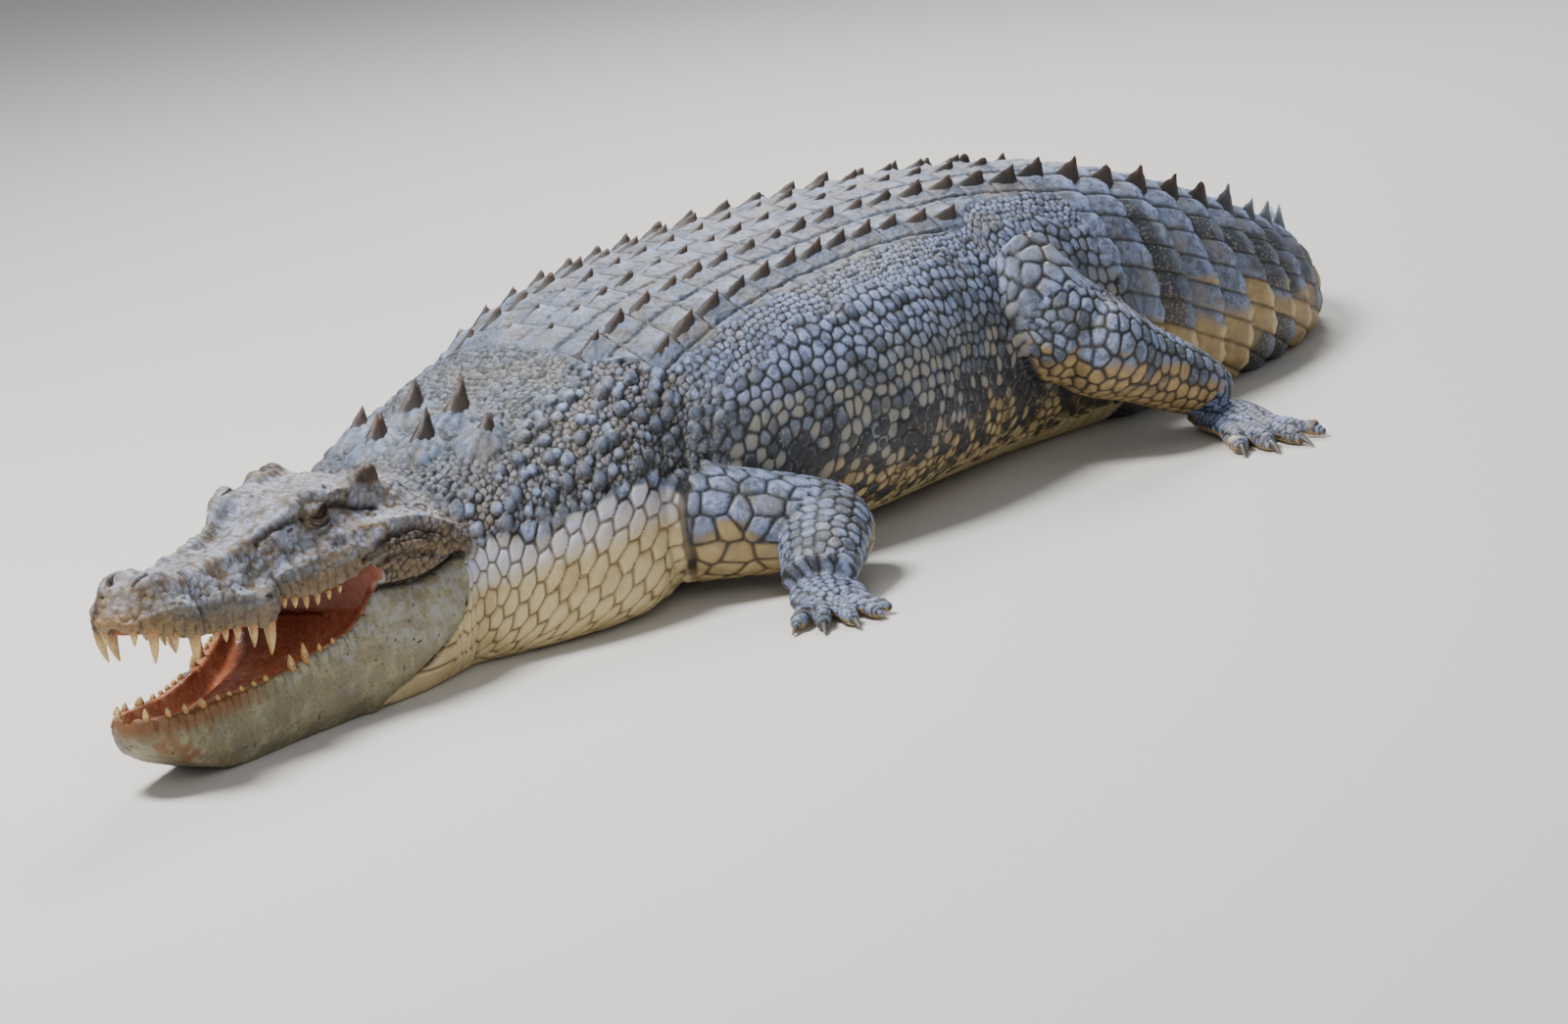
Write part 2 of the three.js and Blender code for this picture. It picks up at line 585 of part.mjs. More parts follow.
function headMeshes() {
  const sockets = Object.values(SIDES).map((side) => eye(side, EYE_RADIUS + GAP));
  const upper = withTeeth(headUpper(), UPPER_TEETH, cheekHalf, lipHeight, -1);
  const skull = mainPiece(sockets.reduce((body, socket) => body.subtract(socket), upper));
  const eyes = Object.entries(SIDES)
    .map(([name, side]) => named(`eye_${name}`, eye(side, EYE_RADIUS), COLOURS.eye));
  return [named('head_upper', skull, COLOURS.head),
    named('lower_jaw', withTeeth(lowerJaw(), LOWER_TEETH, jawHalf, rimHeight, 1), COLOURS.jaw),
    named('tongue', tongue(), COLOURS.mouth), ...eyes];
}

function limbMeshes(lengths, plans, girth, toePlan) {
  return plans.flatMap((plan) => {
    const names = lengths.map((length) => `${length}_${plan.side}`);
    return Object.entries(limb(names, plan, girth, toePlan))
      .map(([name, body]) => named(name, body, name.includes('claw') ? COLOURS.claw : COLOURS.flank));
  });
}

function buildModel() {
  const group = new THREE.Group();
  group.add(...trunkMeshes(), ...headMeshes());
  group.add(...limbMeshes(['upper_arm', 'forearm', 'hand'], FRONT_LIMBS, ARM, HAND_TOES));
  group.add(...limbMeshes(['thigh', 'shank', 'foot'], HIND_LIMBS, LEG, FOOT_TOES));
  return group;
}

/** Puts the origin under the middle of the model's box. */
function centred(group) {
  const box = new THREE.Box3().setFromObject(group);
  const middle = box.getCenter(new THREE.Vector3());
  group.position.set(-middle.x, -middle.y, -box.min.z);
  return group;
}

export default centred(buildModel());
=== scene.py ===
import bpy
import math
import numpy as np
from mathutils import Matrix, Vector


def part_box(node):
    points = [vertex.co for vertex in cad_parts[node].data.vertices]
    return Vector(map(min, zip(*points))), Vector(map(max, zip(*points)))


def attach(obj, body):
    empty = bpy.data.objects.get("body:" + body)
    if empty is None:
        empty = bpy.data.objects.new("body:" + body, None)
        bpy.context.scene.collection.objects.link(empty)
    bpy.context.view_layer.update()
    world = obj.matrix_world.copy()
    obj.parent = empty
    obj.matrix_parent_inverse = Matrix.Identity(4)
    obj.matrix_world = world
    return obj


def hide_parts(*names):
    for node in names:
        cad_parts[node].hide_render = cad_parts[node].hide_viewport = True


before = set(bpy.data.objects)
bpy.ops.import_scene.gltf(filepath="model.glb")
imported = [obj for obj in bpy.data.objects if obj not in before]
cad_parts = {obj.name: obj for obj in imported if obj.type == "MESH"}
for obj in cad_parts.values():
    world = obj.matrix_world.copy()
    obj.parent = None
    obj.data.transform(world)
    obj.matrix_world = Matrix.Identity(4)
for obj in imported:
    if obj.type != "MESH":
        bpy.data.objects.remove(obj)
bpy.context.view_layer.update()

# Saltwater crocodile. Shapes are worked out in millimetres in the animal's own places: s behind the snout tip
# along the back, left of the backbone, and height above the floor. One function turns them into metres.

# ---- driving dimensions, the same as the solids' -----------------------------------------------

MM = 0.001
LENGTH = 4500
TRUNK_ORIGIN = 1600
STEP = 10
COAT = 3.0                        # the skin lies this far inside the solids; scales rise from it
RELIEF = 1.3                      # all the relief of the skin is multiplied by this
FLOOR_GAP = 0.2                   # no point of the skin lies lower than this above the floor
COARSE = 4                        # every fourth sample of the backbone is searched for the nearest one
PART = 40000                      # so many points are searched at a time
FORM_STEP = 8                     # distance between the rings of the body's form
FORM_POINTS = 180                 # points in each of them
RING_POINTS = 260                 # points in a ring of the head
NECK_LAP = 60                     # the head's own neck goes on this far behind the seam while it is made

HEADING = [[0, -11.3], [700, -11.3], [900, -4], [1150, -4], [1600, 0], [1850, 9], [2100, 14], [2350, 11],
           [2600, 3], [2850, -13], [3000, -30], [3200, -60], [3400, -88], [3650, -114], [3900, -130],
           [4200, -140], [LENGTH, -144]]
BACK_HEIGHT = [[660, 298], [720, 306], [800, 328], [900, 350], [1000, 376], [1120, 414], [1350, 450],
               [1600, 463], [1850, 476], [2050, 476], [2250, 454], [2450, 402], [2650, 330], [2850, 252],
               [3050, 186], [3300, 148], [3600, 120], [3900, 94], [4250, 60], [LENGTH, 20]]
HALF_WIDTH = [[660, 178], [720, 216], [800, 258], [900, 290], [990, 306], [1050, 290], [1120, 288],
              [1250, 328], [1500, 384], [1700, 384], [1900, 338], [2100, 268], [2300, 214], [2600, 164],
              [2850, 124], [3100, 98], [3400, 80], [3800, 56], [4250, 30], [LENGTH, 9]]
WIDEST_LEVEL = [[660, 0.40], [760, 0.32], [900, 0.29], [1050, 0.31], [1250, 0.40], [1600, 0.42],
                [2300, 0.42], [2650, 0.33], [3300, 0.33], [LENGTH, 0.42]]
BELLY_SINK = 14
BACK_ROUNDNESS = [[660, 2.2], [1100, 2.3], [2000, 2.3], [2600, 1.95], [2900, 1.8], [3400, 1.8], [LENGTH, 2]]
BELLY_ROUNDNESS = [[660, 2.6], [800, 3.2], [1000, 3.4], [1200, 2.6], [LENGTH, 2.5]]

FIRST_ROW = 1109
ROW_SPACING = 70
BACK_ROWS = 16
COLUMN_SPACING = 80
TAIL_START = FIRST_ROW + BACK_ROWS * ROW_SPACING
RING_SPACING = 79.4
RINGS = 27
SINGLE_CREST_FROM = 15
NECK_START = 660


def curve(knots):
    """Smooth curve through (place, value) knots: cubic pieces whose slope at each knot is that of the line
    from the knot before it to the knot after it."""
    x, y = np.array(knots, float).T
    slope = np.empty_like(y)
    slope[1:-1] = (y[2:] - y[:-2]) / (x[2:] - x[:-2])
    slope[[0, -1]] = (y[1] - y[0]) / (x[1] - x[0]), (y[-1] - y[-2]) / (x[-1] - x[-2])

    def at(place):
        place = np.clip(place, x[0], x[-1])
        i = np.clip(np.searchsorted(x, place) - 1, 0, len(x) - 2)
        h = x[i + 1] - x[i]
        t = (place - x[i]) / h
        m0, m1, rise = slope[i] * h, slope[i + 1] * h, y[i + 1] - y[i]
        return y[i] + t * (m0 + t * (3 * rise - 2 * m0 - m1 + t * (m0 + m1 - 2 * rise)))

    return at


heading = curve(HEADING)
back_height = curve(BACK_HEIGHT)
half_width = curve(HALF_WIDTH)
widest_level = curve(WIDEST_LEVEL)
back_roundness = curve(BACK_ROUNDNESS)
belly_roundness = curve(BELLY_ROUNDNESS)

# Head, at places behind the snout tip.
MOUTH_CORNER = 460
head_top = curve([[4, 262], [14, 282], [34, 299], [62, 305], [95, 293], [125, 285], [160, 283],
                  [205, 288], [285, 294], [330, 301], [375, 314], [420, 327], [460, 329], [565, 328],
                  [612, 318], [660, 292]])
plateau_half = curve([[4, 10], [34, 34], [62, 40], [125, 30], [205, 38], [285, 42], [330, 48],
                      [420, 60], [510, 68], [612, 78], [660, 60]])
plateau_edge = curve([[4, 260], [34, 296], [62, 300], [125, 282], [205, 286], [285, 297], [330, 307],
                      [375, 322], [420, 338], [460, 336], [510, 326], [565, 332], [612, 318], [660, 288]])
step_half = curve([[4, 16], [34, 52], [62, 61], [95, 60], [125, 50], [205, 68], [285, 74], [375, 82],
                   [420, 86], [510, 104], [612, 136], [660, 140]])
step_height = curve([[4, 254], [34, 272], [62, 276], [125, 262], [285, 262], [330, 266], [375, 276],
                     [420, 286], [510, 280], [612, 262], [660, 238]])
cheek_half = curve([[4, 20], [14, 40], [34, 62], [62, 76], [95, 79], [125, 66], [160, 72], [205, 86],
                    [245, 97], [285, 93], [330, 103], [375, 117], [420, 131], [460, 143], [510, 157],
                    [565, 168], [660, 173]])
cheek_height = curve([[4, 248], [62, 244], [125, 228], [245, 216], [285, 228], [375, 230], [460, 244],
                      [510, 238], [612, 214], [660, 200]])
lip_height = curve([[4, 241], [34, 229], [62, 220], [95, 210], [125, 203], [205, 193], [245, 186],
                    [285, 208], [330, 201], [375, 199], [420, 206], [460, 217], [510, 210], [565, 198],
                    [612, 186], [660, 172]])
rim_height = curve([[4, 116], [34, 116], [95, 110], [205, 108], [285, 112], [330, 120], [375, 128],
                    [420, 146], [460, 190]])
jaw_half = curve([[4, 14], [14, 34], [34, 52], [62, 60], [125, 63], [160, 67], [205, 76], [285, 92],
                  [330, 102], [375, 116], [420, 130], [460, 144], [510, 160], [565, 172], [660, 173]])
jaw_bottom = curve([[4, 92], [14, 76], [34, 60], [62, 44], [95, 28], [125, 16], [160, 5], [205, 0],
                    [250, 0], [660, 0]])
LIP_THICKNESS = 18
PALATE_RISE = 26
FLOOR_DROP = 34
EYE_RADIUS = 21
EYE_PLACE = (412, 72, 307)

# Limbs: root, bend and end as place along the back, distance to the animal's own side and height, and the
# way that the hand or foot points.
ARMS = [(1, [[1075, 220, 130], [1262, 418, 88], [1094, 508, 50]], (-0.53, -0.85)),
        (-1, [[1075, 220, 130], [1270, 412, 88], [1128, 518, 50]], (-0.7, 0.72))]
LEGS = [(1, [[2045, 200, 284], [2105, 325, 205], [2350, 345, 66]], (-0.42, -0.9)),
        (-1, [[2045, 200, 284], [2085, 330, 205], [2315, 368, 66]], (-0.2, 0.98))]
# Half width and half depth of a limb at its root, middle, bend, below the bend, and end; palm and heel.
ARM = {"root": (96, 100), "upper": (84, 86), "bend": (74, 70), "lower": (72, 62), "end": (60, 38),
       "palm": 62, "palm_length": 62, "heel": 30}
LEG = {"root": (126, 122), "upper": (114, 106), "bend": (92, 84), "lower": (80, 68), "end": (52, 44),
       "palm": 60, "palm_length": 118, "heel": 40, "calf": [(0.3, 100, 98), (0.5, 92, 84), (0.5, 72, 62)]}
# Toes from the inner side outwards: turn, length, half thickness, sideways shift, claw length.
HAND_TOES = [(-0.62, 62, 14, -44, 24), (-0.28, 78, 15, -24, 26), (0.02, 84, 15, -2, 26),
             (0.34, 78, 13, 20, 0), (0.55, 60, 11, 38, 0)]
FOOT_TOES = [(-0.34, 92, 18, -44, 30), (-0.12, 112, 18, -18, 32), (0.12, 116, 17, 10, 30),
             (0.42, 104, 13, 36, 0)]

# Each limb as all that its form is made from.
LIMBS = [(*plan, ARM, HAND_TOES) for plan in ARMS] + [(*plan, LEG, FOOT_TOES) for plan in LEGS]

# ---- places ------------------------------------------------------------------------------------


def summed_backbone():
    """Backbone in plan: equal steps summed along the heading, shifted to pass through the trunk origin."""
    turn = np.radians(heading(np.arange(0, LENGTH, STEP) + STEP / 2))
    steps = np.stack([np.cos(turn), -np.sin(turn)], 1) * STEP
    points = np.vstack([[0, 0], np.cumsum(steps, 0)])
    return points - points[TRUNK_ORIGIN // STEP]


spine = summed_backbone()
spine_places = np.arange(len(spine)) * STEP


def body_point(s, left, z):
    """Points from the place along the back, the distance to the animal's left, and the height: the backbone
    point plus the leftward direction times the distance."""
    s, left, z = np.broadcast_arrays(np.asarray(s, float), left, z)
    turn = np.radians(heading(s))
    x = np.interp(s, spine_places, spine[:, 0]) - np.sin(turn) * left
    y = np.interp(s, spine_places, spine[:, 1]) - np.cos(turn) * left
    return np.stack([x, y, z], -1)


def along_body(points):
    """The inverse of body_point: the nearest coarse sample of the backbone, then five steps, each of 0.8 of
    what is left along its tangent."""
    coarse = spine[::COARSE].astype(np.float32)
    flat = points[:, :2].astype(np.float32)
    nearest = [((part[:, None] - coarse) ** 2).sum(2).argmin(1)
               for part in np.array_split(flat, max(1, len(flat) // PART))]
    s = np.concatenate(nearest) * float(COARSE * STEP)
    for _ in range(5):
        turn = np.radians(heading(s))
        dx = points[:, 0] - np.interp(s, spine_places, spine[:, 0])
        dy = points[:, 1] - np.interp(s, spine_places, spine[:, 1])
        s = np.clip(s + 0.8 * (dx * np.cos(turn) - dy * np.sin(turn)), 0, LENGTH)
    return s, -np.sin(turn) * dx - np.cos(turn) * dy


def frame_shift():
    """How far the solids' frame lies from the animal's own: the middle of the left eye tells it."""
    low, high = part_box("eye_left")
    d, left, z = EYE_PLACE
    return np.array((low + high) / 2) - body_point(d, left, z) * MM


SHIFT = frame_shift()

# ---- meshes ------------------------------------------------------------------------------------


def made_mesh(name, points, faces):
    """A mesh object from points in millimetres and an array of faces with equal corner counts, or a list
    of such arrays."""
    faces = faces if isinstance(faces, list) else [faces]
    mesh = bpy.data.meshes.new(name)
    sizes = np.concatenate([np.full(len(f), f.shape[1]) for f in faces])
    corners = np.concatenate([f.ravel() for f in faces])
    mesh.vertices.add(len(points))
    mesh.vertices.foreach_set("co", (points * MM + SHIFT).astype(np.float32).ravel())
    mesh.loops.add(len(corners))
    mesh.loops.foreach_set("vertex_index", corners.astype(np.int32))
    mesh.polygons.add(len(sizes))
    mesh.polygons.foreach_set("loop_start", (np.cumsum(sizes) - sizes).astype(np.int32))
    mesh.polygons.foreach_set("use_smooth", np.ones(len(sizes), bool))
    mesh.update(calc_edges=True)
    mesh.validate()
    obj = bpy.data.objects.new(name, mesh)
    bpy.context.scene.collection.objects.link(obj)
    return obj


def full_turn(count):
    """Equal angles round a full turn."""
    return np.linspace(0, 2 * np.pi, count, endpoint=False)


def tube(rings):
    """Closed surface from rings of points: quads join each ring to the next, and a fan round its own middle
    closes each end."""
    rows, columns = rings.shape[:2]
    points = np.vstack([rings.reshape(-1, 3), rings[0].mean(0), rings[-1].mean(0)])
    j = np.arange(columns)
    k = (j + 1) % columns
    here = np.arange(rows - 1)[:, None] * columns
    following = here + columns
    sides = np.stack([here + j, following + j, following + k, here + k], -1).reshape(-1, 4)
    top = rows * columns
    first = np.stack([np.full(columns, top), j, k], 1)
    last = np.stack([np.full(columns, top + 1), top - columns + k, top - columns + j], 1)
    return points, [sides, np.vstack([first, last])]


def joined(parts):
    """Several (points, faces) parts as one."""
    points = np.vstack([p for p, _ in parts])
    starts = np.cumsum([0] + [len(p) for p, _ in parts[:-1]])
    faces = [f + at for (_, faces), at in zip(parts, starts) for f in faces]
    return points, [np.vstack([f for f in faces if f.shape[1] == corners]) for corners in (4, 3)]


def remeshed(parts, voxel):
    """One closed skin of even quads round the union of closed parts, as points in millimetres and quads."""
    obj = made_mesh("union", *joined(parts))
    union = obj.modifiers.new("union", "REMESH")
    union.mode = "VOXEL"
    union.voxel_size = voxel * MM
    mesh = bpy.data.meshes.new_from_object(obj.evaluated_get(bpy.context.evaluated_depsgraph_get()))
    points = np.empty(len(mesh.vertices) * 3, np.float32)
    mesh.vertices.foreach_get("co", points)
    quads = np.empty(len(mesh.loops), np.int32)
    mesh.loops.foreach_get("vertex_index", quads)
    assert len(quads) == 4 * len(mesh.polygons)
    bpy.data.objects.remove(obj)
    bpy.data.meshes.remove(mesh)
    return (points.reshape(-1, 3).astype(float) - SHIFT) / MM, quads.reshape(-1, 4)


def relaxed(points, quads, rounds):
    """Points moved half way to the mean of their neighbours and about as far back again, so that the skin
    grows smooth and doesn't shrink."""
    a, b = quads.ravel(), np.roll(quads, -1, 1).ravel()
    n = len(points)
    count = np.maximum(np.bincount(a, minlength=n) + np.bincount(b, minlength=n), 1)[:, None]
    for amount in [0.5, -0.52] * rounds:
        total = np.stack([np.bincount(a, points[b, k], n) + np.bincount(b, points[a, k], n)
                          for k in range(3)], 1)
        points = points + amount * (total / count - points)
    return points


def normals_of(points, quads):
    """Unit normal of each point: the sum of the cross products of the diagonals of the quads round it."""
    p = points[quads]
    across = np.cross(p[:, 2] - p[:, 0], p[:, 3] - p[:, 1])
    total = np.stack([np.bincount(quads.ravel(), np.repeat(across[:, k], 4), len(points))
                      for k in range(3)], 1)
    return total / np.maximum(np.linalg.norm(total, axis=1, keepdims=True), 1e-9)


# ---- numbers that vary -------------------------------------------------------------------------


def hashed(i, j, k=0):
    """A number from 0 to 1 for each set of whole numbers, evenly spread: the fraction of a large multiple of
    a sine."""
    v = np.sin(i * 127.1 + j * 311.7 + k * 74.7) * 43758.5453
    return v - np.floor(v)


def smooth(low, high, x):
    """0 below low, 1 above high, and a smooth step between."""
    t = np.clip((x - low) / (high - low), 0, 1)
    return t * t * (3 - 2 * t)


def noise(p, size, seed):
    """Value noise from -1 to 1: random numbers at the corners of cubes, blended smoothly inside them."""
    q = p / size + seed * 17.3
    cell = np.floor(q)
    t = q - cell
    t = t * t * (3 - 2 * t)
    total = 0
    for corner in np.ndindex(2, 2, 2):
        at = cell + corner
        share = np.prod(np.where(corner, t, 1 - t), 1)
        total = total + share * hashed(at[:, 0] + 57.0 * at[:, 2], at[:, 1], seed)
    return total * 2 - 1


def nearest(candidates, count):
    """From pairs of squared distance and number, one after another: the least distance, the margin from it to
    the second least, and the number that goes with the least."""
    best = np.full(count, 9.0)
    second, tone = best, 0 * best
    for d, number in candidates:
        nearer = d < best
        second = np.where(nearer, best, np.minimum(second, d))
        tone = np.where(nearer, number, tone)
        best = np.where(nearer, d, best)
    best, second = np.sqrt(best), np.sqrt(second)
    return best, second - best, tone


def cells(p, q, jitter):
    """Scale pattern: the plane has one middle in each unit square, moved at random by the jitter, every
    other row shifted by half. Gives the distance to the nearest middle, the margin to the next scale, and
    the scale's own random number."""
    def middles():
        for dj in (-1, 0, 1):
            j = np.floor(q) + dj
            offset = 0.5 * (j % 2)
            column = np.floor(p - offset)
            for di in (-1, 0, 1):
                i = column + di
                x = i + 0.5 + offset + jitter * (hashed(i, j) - 0.5)
                y = j + 0.5 + jitter * (hashed(i, j, 1) - 0.5)
                yield (p - x) ** 2 + (q - y) ** 2, hashed(i, j, 2)

    return nearest(middles(), len(p))


def cells3(q, jitter):
    """The same in space, for forms that bend: one middle in each unit cube, moved at random."""
    def middles():
        for corner in np.ndindex(3, 3, 3):
            cell = np.floor(q) + corner - 1
            i, j = cell[:, 0] + 57.0 * cell[:, 2], cell[:, 1]
            at = cell + 0.5 + jitter * (np.stack([hashed(i, j, k) for k in (0, 1, 2)], 1) - 0.5)
            yield ((q - at) ** 2).sum(1), hashed(i, j, 3)

    return nearest(middles(), len(q))


# ---- body form ---------------------------------------------------------------------------------


def section_of(s):
    """Half width, widest level, reach above and below it, and the two roundnesses of the body section."""
    level = back_height(s) * widest_level(s)
    return (half_width(s) - COAT, level, back_height(s) - COAT - level, level + BELLY_SINK,
            back_roundness(s), belly_roundness(s))


def body_section(s, angle):
    """Point of a section: superellipse halves above and below the widest level, flat on the floor. The
    angle runs from the middle of the back."""
    width, level, above, below, n_back, n_belly = section_of(s)
    up = np.cos(angle) > 0
    n = np.where(up, n_back, n_belly)
    left = width * np.sign(np.sin(angle)) * np.abs(np.sin(angle)) ** (2 / n)
    z = level + np.where(up, above, below) * np.sign(np.cos(angle)) * np.abs(np.cos(angle)) ** (2 / n)
    return left, np.maximum(z, 0)


def body_form(to=LENGTH):
    """Tube along the backbone whose rings are the body's sections."""
    s = np.append(np.arange(NECK_START - 30, to, FORM_STEP), to)[:, None]
    return tube(body_point(s, *body_section(s, full_turn(FORM_POINTS))))


def swept(stops, around=28):
    """Tube swept along stops of (point, half width, half depth): middles on straight lines between the
    stops, sizes on a smooth curve, elliptical sections about 6 mm apart."""
    at = np.array([p for p, _, _ in stops], float)
    place = np.append(0, np.cumsum(np.linalg.norm(np.diff(at, axis=0), axis=1)))
    t = np.linspace(0, place[-1], max(6, int(place[-1] / 6)))
    middle = np.stack([np.interp(t, place, at[:, k]) for k in range(3)], 1)
    wide = curve(np.stack([place, [w for _, w, _ in stops]], 1))(t)
    deep = curve(np.stack([place, [h for _, _, h in stops]], 1))(t)
    along = np.gradient(middle, axis=0)
    along /= np.linalg.norm(along, axis=1, keepdims=True)
    across = np.cross([0, 0, 1], along)
    across /= np.linalg.norm(across, axis=1, keepdims=True)
    out = np.cross(along, across)
    angle = full_turn(around)[None, :, None]
    return tube(middle[:, None] + across[:, None] * np.cos(angle) * wide[:, None, None]
                + out[:, None] * np.sin(angle) * deep[:, None, None])


def on_line(a, b, share):
    """The point a share of the way from one point to another, or beyond."""
    return a + (b - a) * share


def limb_lines(side, joints, toward, girth, toes):
    """The lines that a limb is swept along: its three joints, the palm's start and way, and of each toe the
    start, way, length, half thickness and claw. A toe's way is the palm's, turned."""
    root, bend, end = (body_point(s, side * out, z) for s, out, z in joints)
    way = np.array([*toward, 0]) / np.hypot(*toward)
    palm = end * [1, 1, 0]
    across = np.array([-way[1], way[0], 0])
    digits = []
    for turn, length, thick, shift, claw in toes:
        c, q = math.cos(side * turn), math.sin(side * turn)
        line = np.array([way[0] * c - way[1] * q, way[0] * q + way[1] * c, 0])
        start = palm + way * girth["palm_length"] + across * side * shift
        digits.append((start, line, length, thick, claw))
    return root, bend, end, palm, way, digits


def limb_form(side, joints, toward, girth, toes):
    """A limb: tapered tubes from root to bend and bend to end, the sole, and the toes with their knuckles."""
    root, bend, end, palm, way, digits = limb_lines(side, joints, toward, girth, toes)

    def stops(a, b, plan):
        return [(on_line(a, b, share), girth[key][0] * scale - COAT, girth[key][1] * scale - COAT)
                for share, key, scale in plan]

    def level(reach, z, share, deep):
        return (palm + way * reach + [0, 0, z], girth["palm"] * share - COAT, deep - COAT)

    parts = [swept(stops(root, bend, [(0, "root", 1), (0.5, "upper", 1), (0.95, "bend", 1),
                                      (1.12, "bend", 0.8), (1.22, "bend", 0.4)])),
             swept(stops(bend, end, [(-0.14, "bend", 0.5), (0.05, "bend", 0.98), (0.45, "lower", 1),
                                     (0.8, "lower", 0.86), (1, "end", 1)])),
             swept([level(-girth["heel"], 22, 0.6, 20), level(0, 28, 0.82, 30),
                    level(girth["palm_length"] / 2, 26, 1, 27), level(girth["palm_length"], 20, 0.94, 21)])]
    if "calf" in girth:
        (up, *upper), (_, *middle), (down, *lower) = girth["calf"]
        ends = on_line(root, bend, up), on_line(bend, end, down)
        parts.append(swept([(ends[0], *upper), (on_line(*ends, 0.5), *middle), (ends[1], *lower)]))
    for start, line, length, thick, _ in digits:
        plan = [(-0.2, 22, 1), (0.12, 22, 0.94), (0.34, 19, 1), (0.52, 18, 0.84), (0.72, 16, 0.9),
                (0.9, 12, 0.66), (1, 9.5, 0.36)]
        parts.append(swept([(start + line * length * share + [0, 0, z], thick * k, thick * k * 0.9)
                            for share, z, k in plan], 16))
    return parts


# ---- head form ---------------------------------------------------------------------------------


def rounded_rings(d, half):
    """Rings that are the same on both sides from a left half outline, top middle to bottom middle: each is
    resampled along its length and its corners are rounded by a moving mean."""
    half = np.stack([np.stack(np.broadcast_arrays(y, z, d)[:2], -1) for y, z in half], 1)
    right = half[:, -2:0:-1] * [-1, 1]
    ring = np.concatenate([half, right, half[:, :1]], 1)
    length = np.concatenate([np.zeros((len(d), 1)),
                             np.cumsum(np.linalg.norm(np.diff(ring, axis=1), axis=2), 1)], 1)
    even = [[np.interp(np.linspace(0, span[-1], RING_POINTS, endpoint=False), span, points[:, k])
             for k in (0, 1)] for span, points in zip(length, ring)]
    even = np.array(even).transpose(0, 2, 1)
    for _ in range(3):
        even = (np.roll(even, 1, 1) + even + np.roll(even, -1, 1)) / 3
    return body_point(d[:, None], even[..., 0], even[..., 1])


HEAD_PLACES = np.arange(4, 701, 4.0)          # the head's rings, from the snout tip into the neck


def floor_drop(d):
    """Depth of the mouth floor below the jaw's rim: it grows evenly behind the chin and then stays."""
    return FLOOR_DROP * np.minimum(1, (d + 4) / 70)


def upper_head_form():
    """Snout, skull and palate: a ring at each place from the flat top, the step, the cheek and the lip."""
    d = np.minimum(HEAD_PLACES, NECK_START)
    cheek, lip = cheek_half(d) - COAT, lip_height(d)
    behind = d >= MOUTH_CORNER
    rise = np.where(behind, -8, PALATE_RISE * np.minimum(1, (d + 6) / 60))
    inner = np.maximum(cheek - LIP_THICKNESS, cheek * 0.6)
    roof = np.maximum(cheek - LIP_THICKNESS - 14, cheek * 0.3)
    rings = rounded_rings(HEAD_PLACES, [
        (0, head_top(d) - COAT), (plateau_half(d), plateau_edge(d) - COAT),
        (step_half(d), step_height(d) - COAT),
        ((step_half(d) + cheek) / 2 + 4, (step_height(d) + cheek_height(d)) / 2 + 4),
        (cheek, cheek_height(d)), (cheek - 2, lip + 4), (inner, lip), (roof, lip + rise), (0, lip + rise)])
    return tube(rings)


def lower_jaw_form():
    """Jaw and mouth floor: a ring at each place from the floor of the mouth, the rim, side and bottom."""
    d = np.minimum(HEAD_PLACES, NECK_START)
    behind = d >= MOUTH_CORNER
    rim = np.where(behind, lip_height(d) + 8, rim_height(d))
    drop = np.where(behind, 0, floor_drop(d))
    w, bottom = jaw_half(d) - COAT, jaw_bottom(d)
    middle = (rim + bottom) / 2
    rings = rounded_rings(HEAD_PLACES, [
        (0, rim - drop), (np.maximum(w - LIP_THICKNESS - 12, w * 0.3), rim - drop),
        (np.maximum(w - LIP_THICKNESS, w * 0.6), rim), (w - 3, rim - 3), (w, middle),
        (w * 0.94, bottom + (middle - bottom) * 0.4), (w * 0.78, bottom), (0, bottom)])
    return tube(rings)


def ball(centre, radii, around=36, rows=20):
    """Closed ellipsoid: rings of latitude round a centre."""
    tilt = np.linspace(-np.pi / 2, np.pi / 2, rows)[1:-1, None]
    angle = full_turn(around)
    ring = np.stack([np.cos(tilt) * np.cos(angle), np.cos(tilt) * np.sin(angle),
                     np.sin(tilt) + 0 * angle], -1)
    return tube(centre + ring * radii)


def eye_at(side):
    """Middle of an eye, with the ways backwards and outwards from it: along the heading there and across."""
    d, left, z = EYE_PLACE
    turn = np.radians(heading(d))
    back, out = np.array([[np.cos(turn), -np.sin(turn), 0], [-np.sin(turn), -np.cos(turn), 0]])
    return body_point(d, side * left, z), back, out * side


# ---- places on the skin ------------------------------------------------------------------------


def section_angle(s, left, z):
    """Angle of a skin point round the section, 0 at the middle of the back and pi under the belly, and how
    far out it lies, 1 on the section: the superellipse is turned into a circle by powers of both shares."""
    width, level, above, below, n_back, n_belly = section_of(s)
    up = z > level
    n = np.where(up, n_back, n_belly)
    side = (np.abs(left) / width) ** (n / 2)
    rise = (np.abs(z - level) / np.where(up, above, below)) ** (n / 2)
    return np.arctan2(side, np.where(up, rise, -rise)), (side ** 2 + rise ** 2) ** (1 / n)


ARC_PLACES = np.linspace(NECK_START - 60, LENGTH, 300)
ARC_ANGLES = np.linspace(0, np.pi, 121)


def arc_lengths():
    """Length along each section from the middle of the back: the sum of the steps between its points."""
    left, z = body_section(ARC_PLACES[:, None], ARC_ANGLES[None])
    steps = np.hypot(np.diff(left, axis=1), np.diff(z, axis=1))
    return np.hstack([np.zeros((len(steps), 1)), np.cumsum(steps, 1)])


arc_table = arc_lengths()


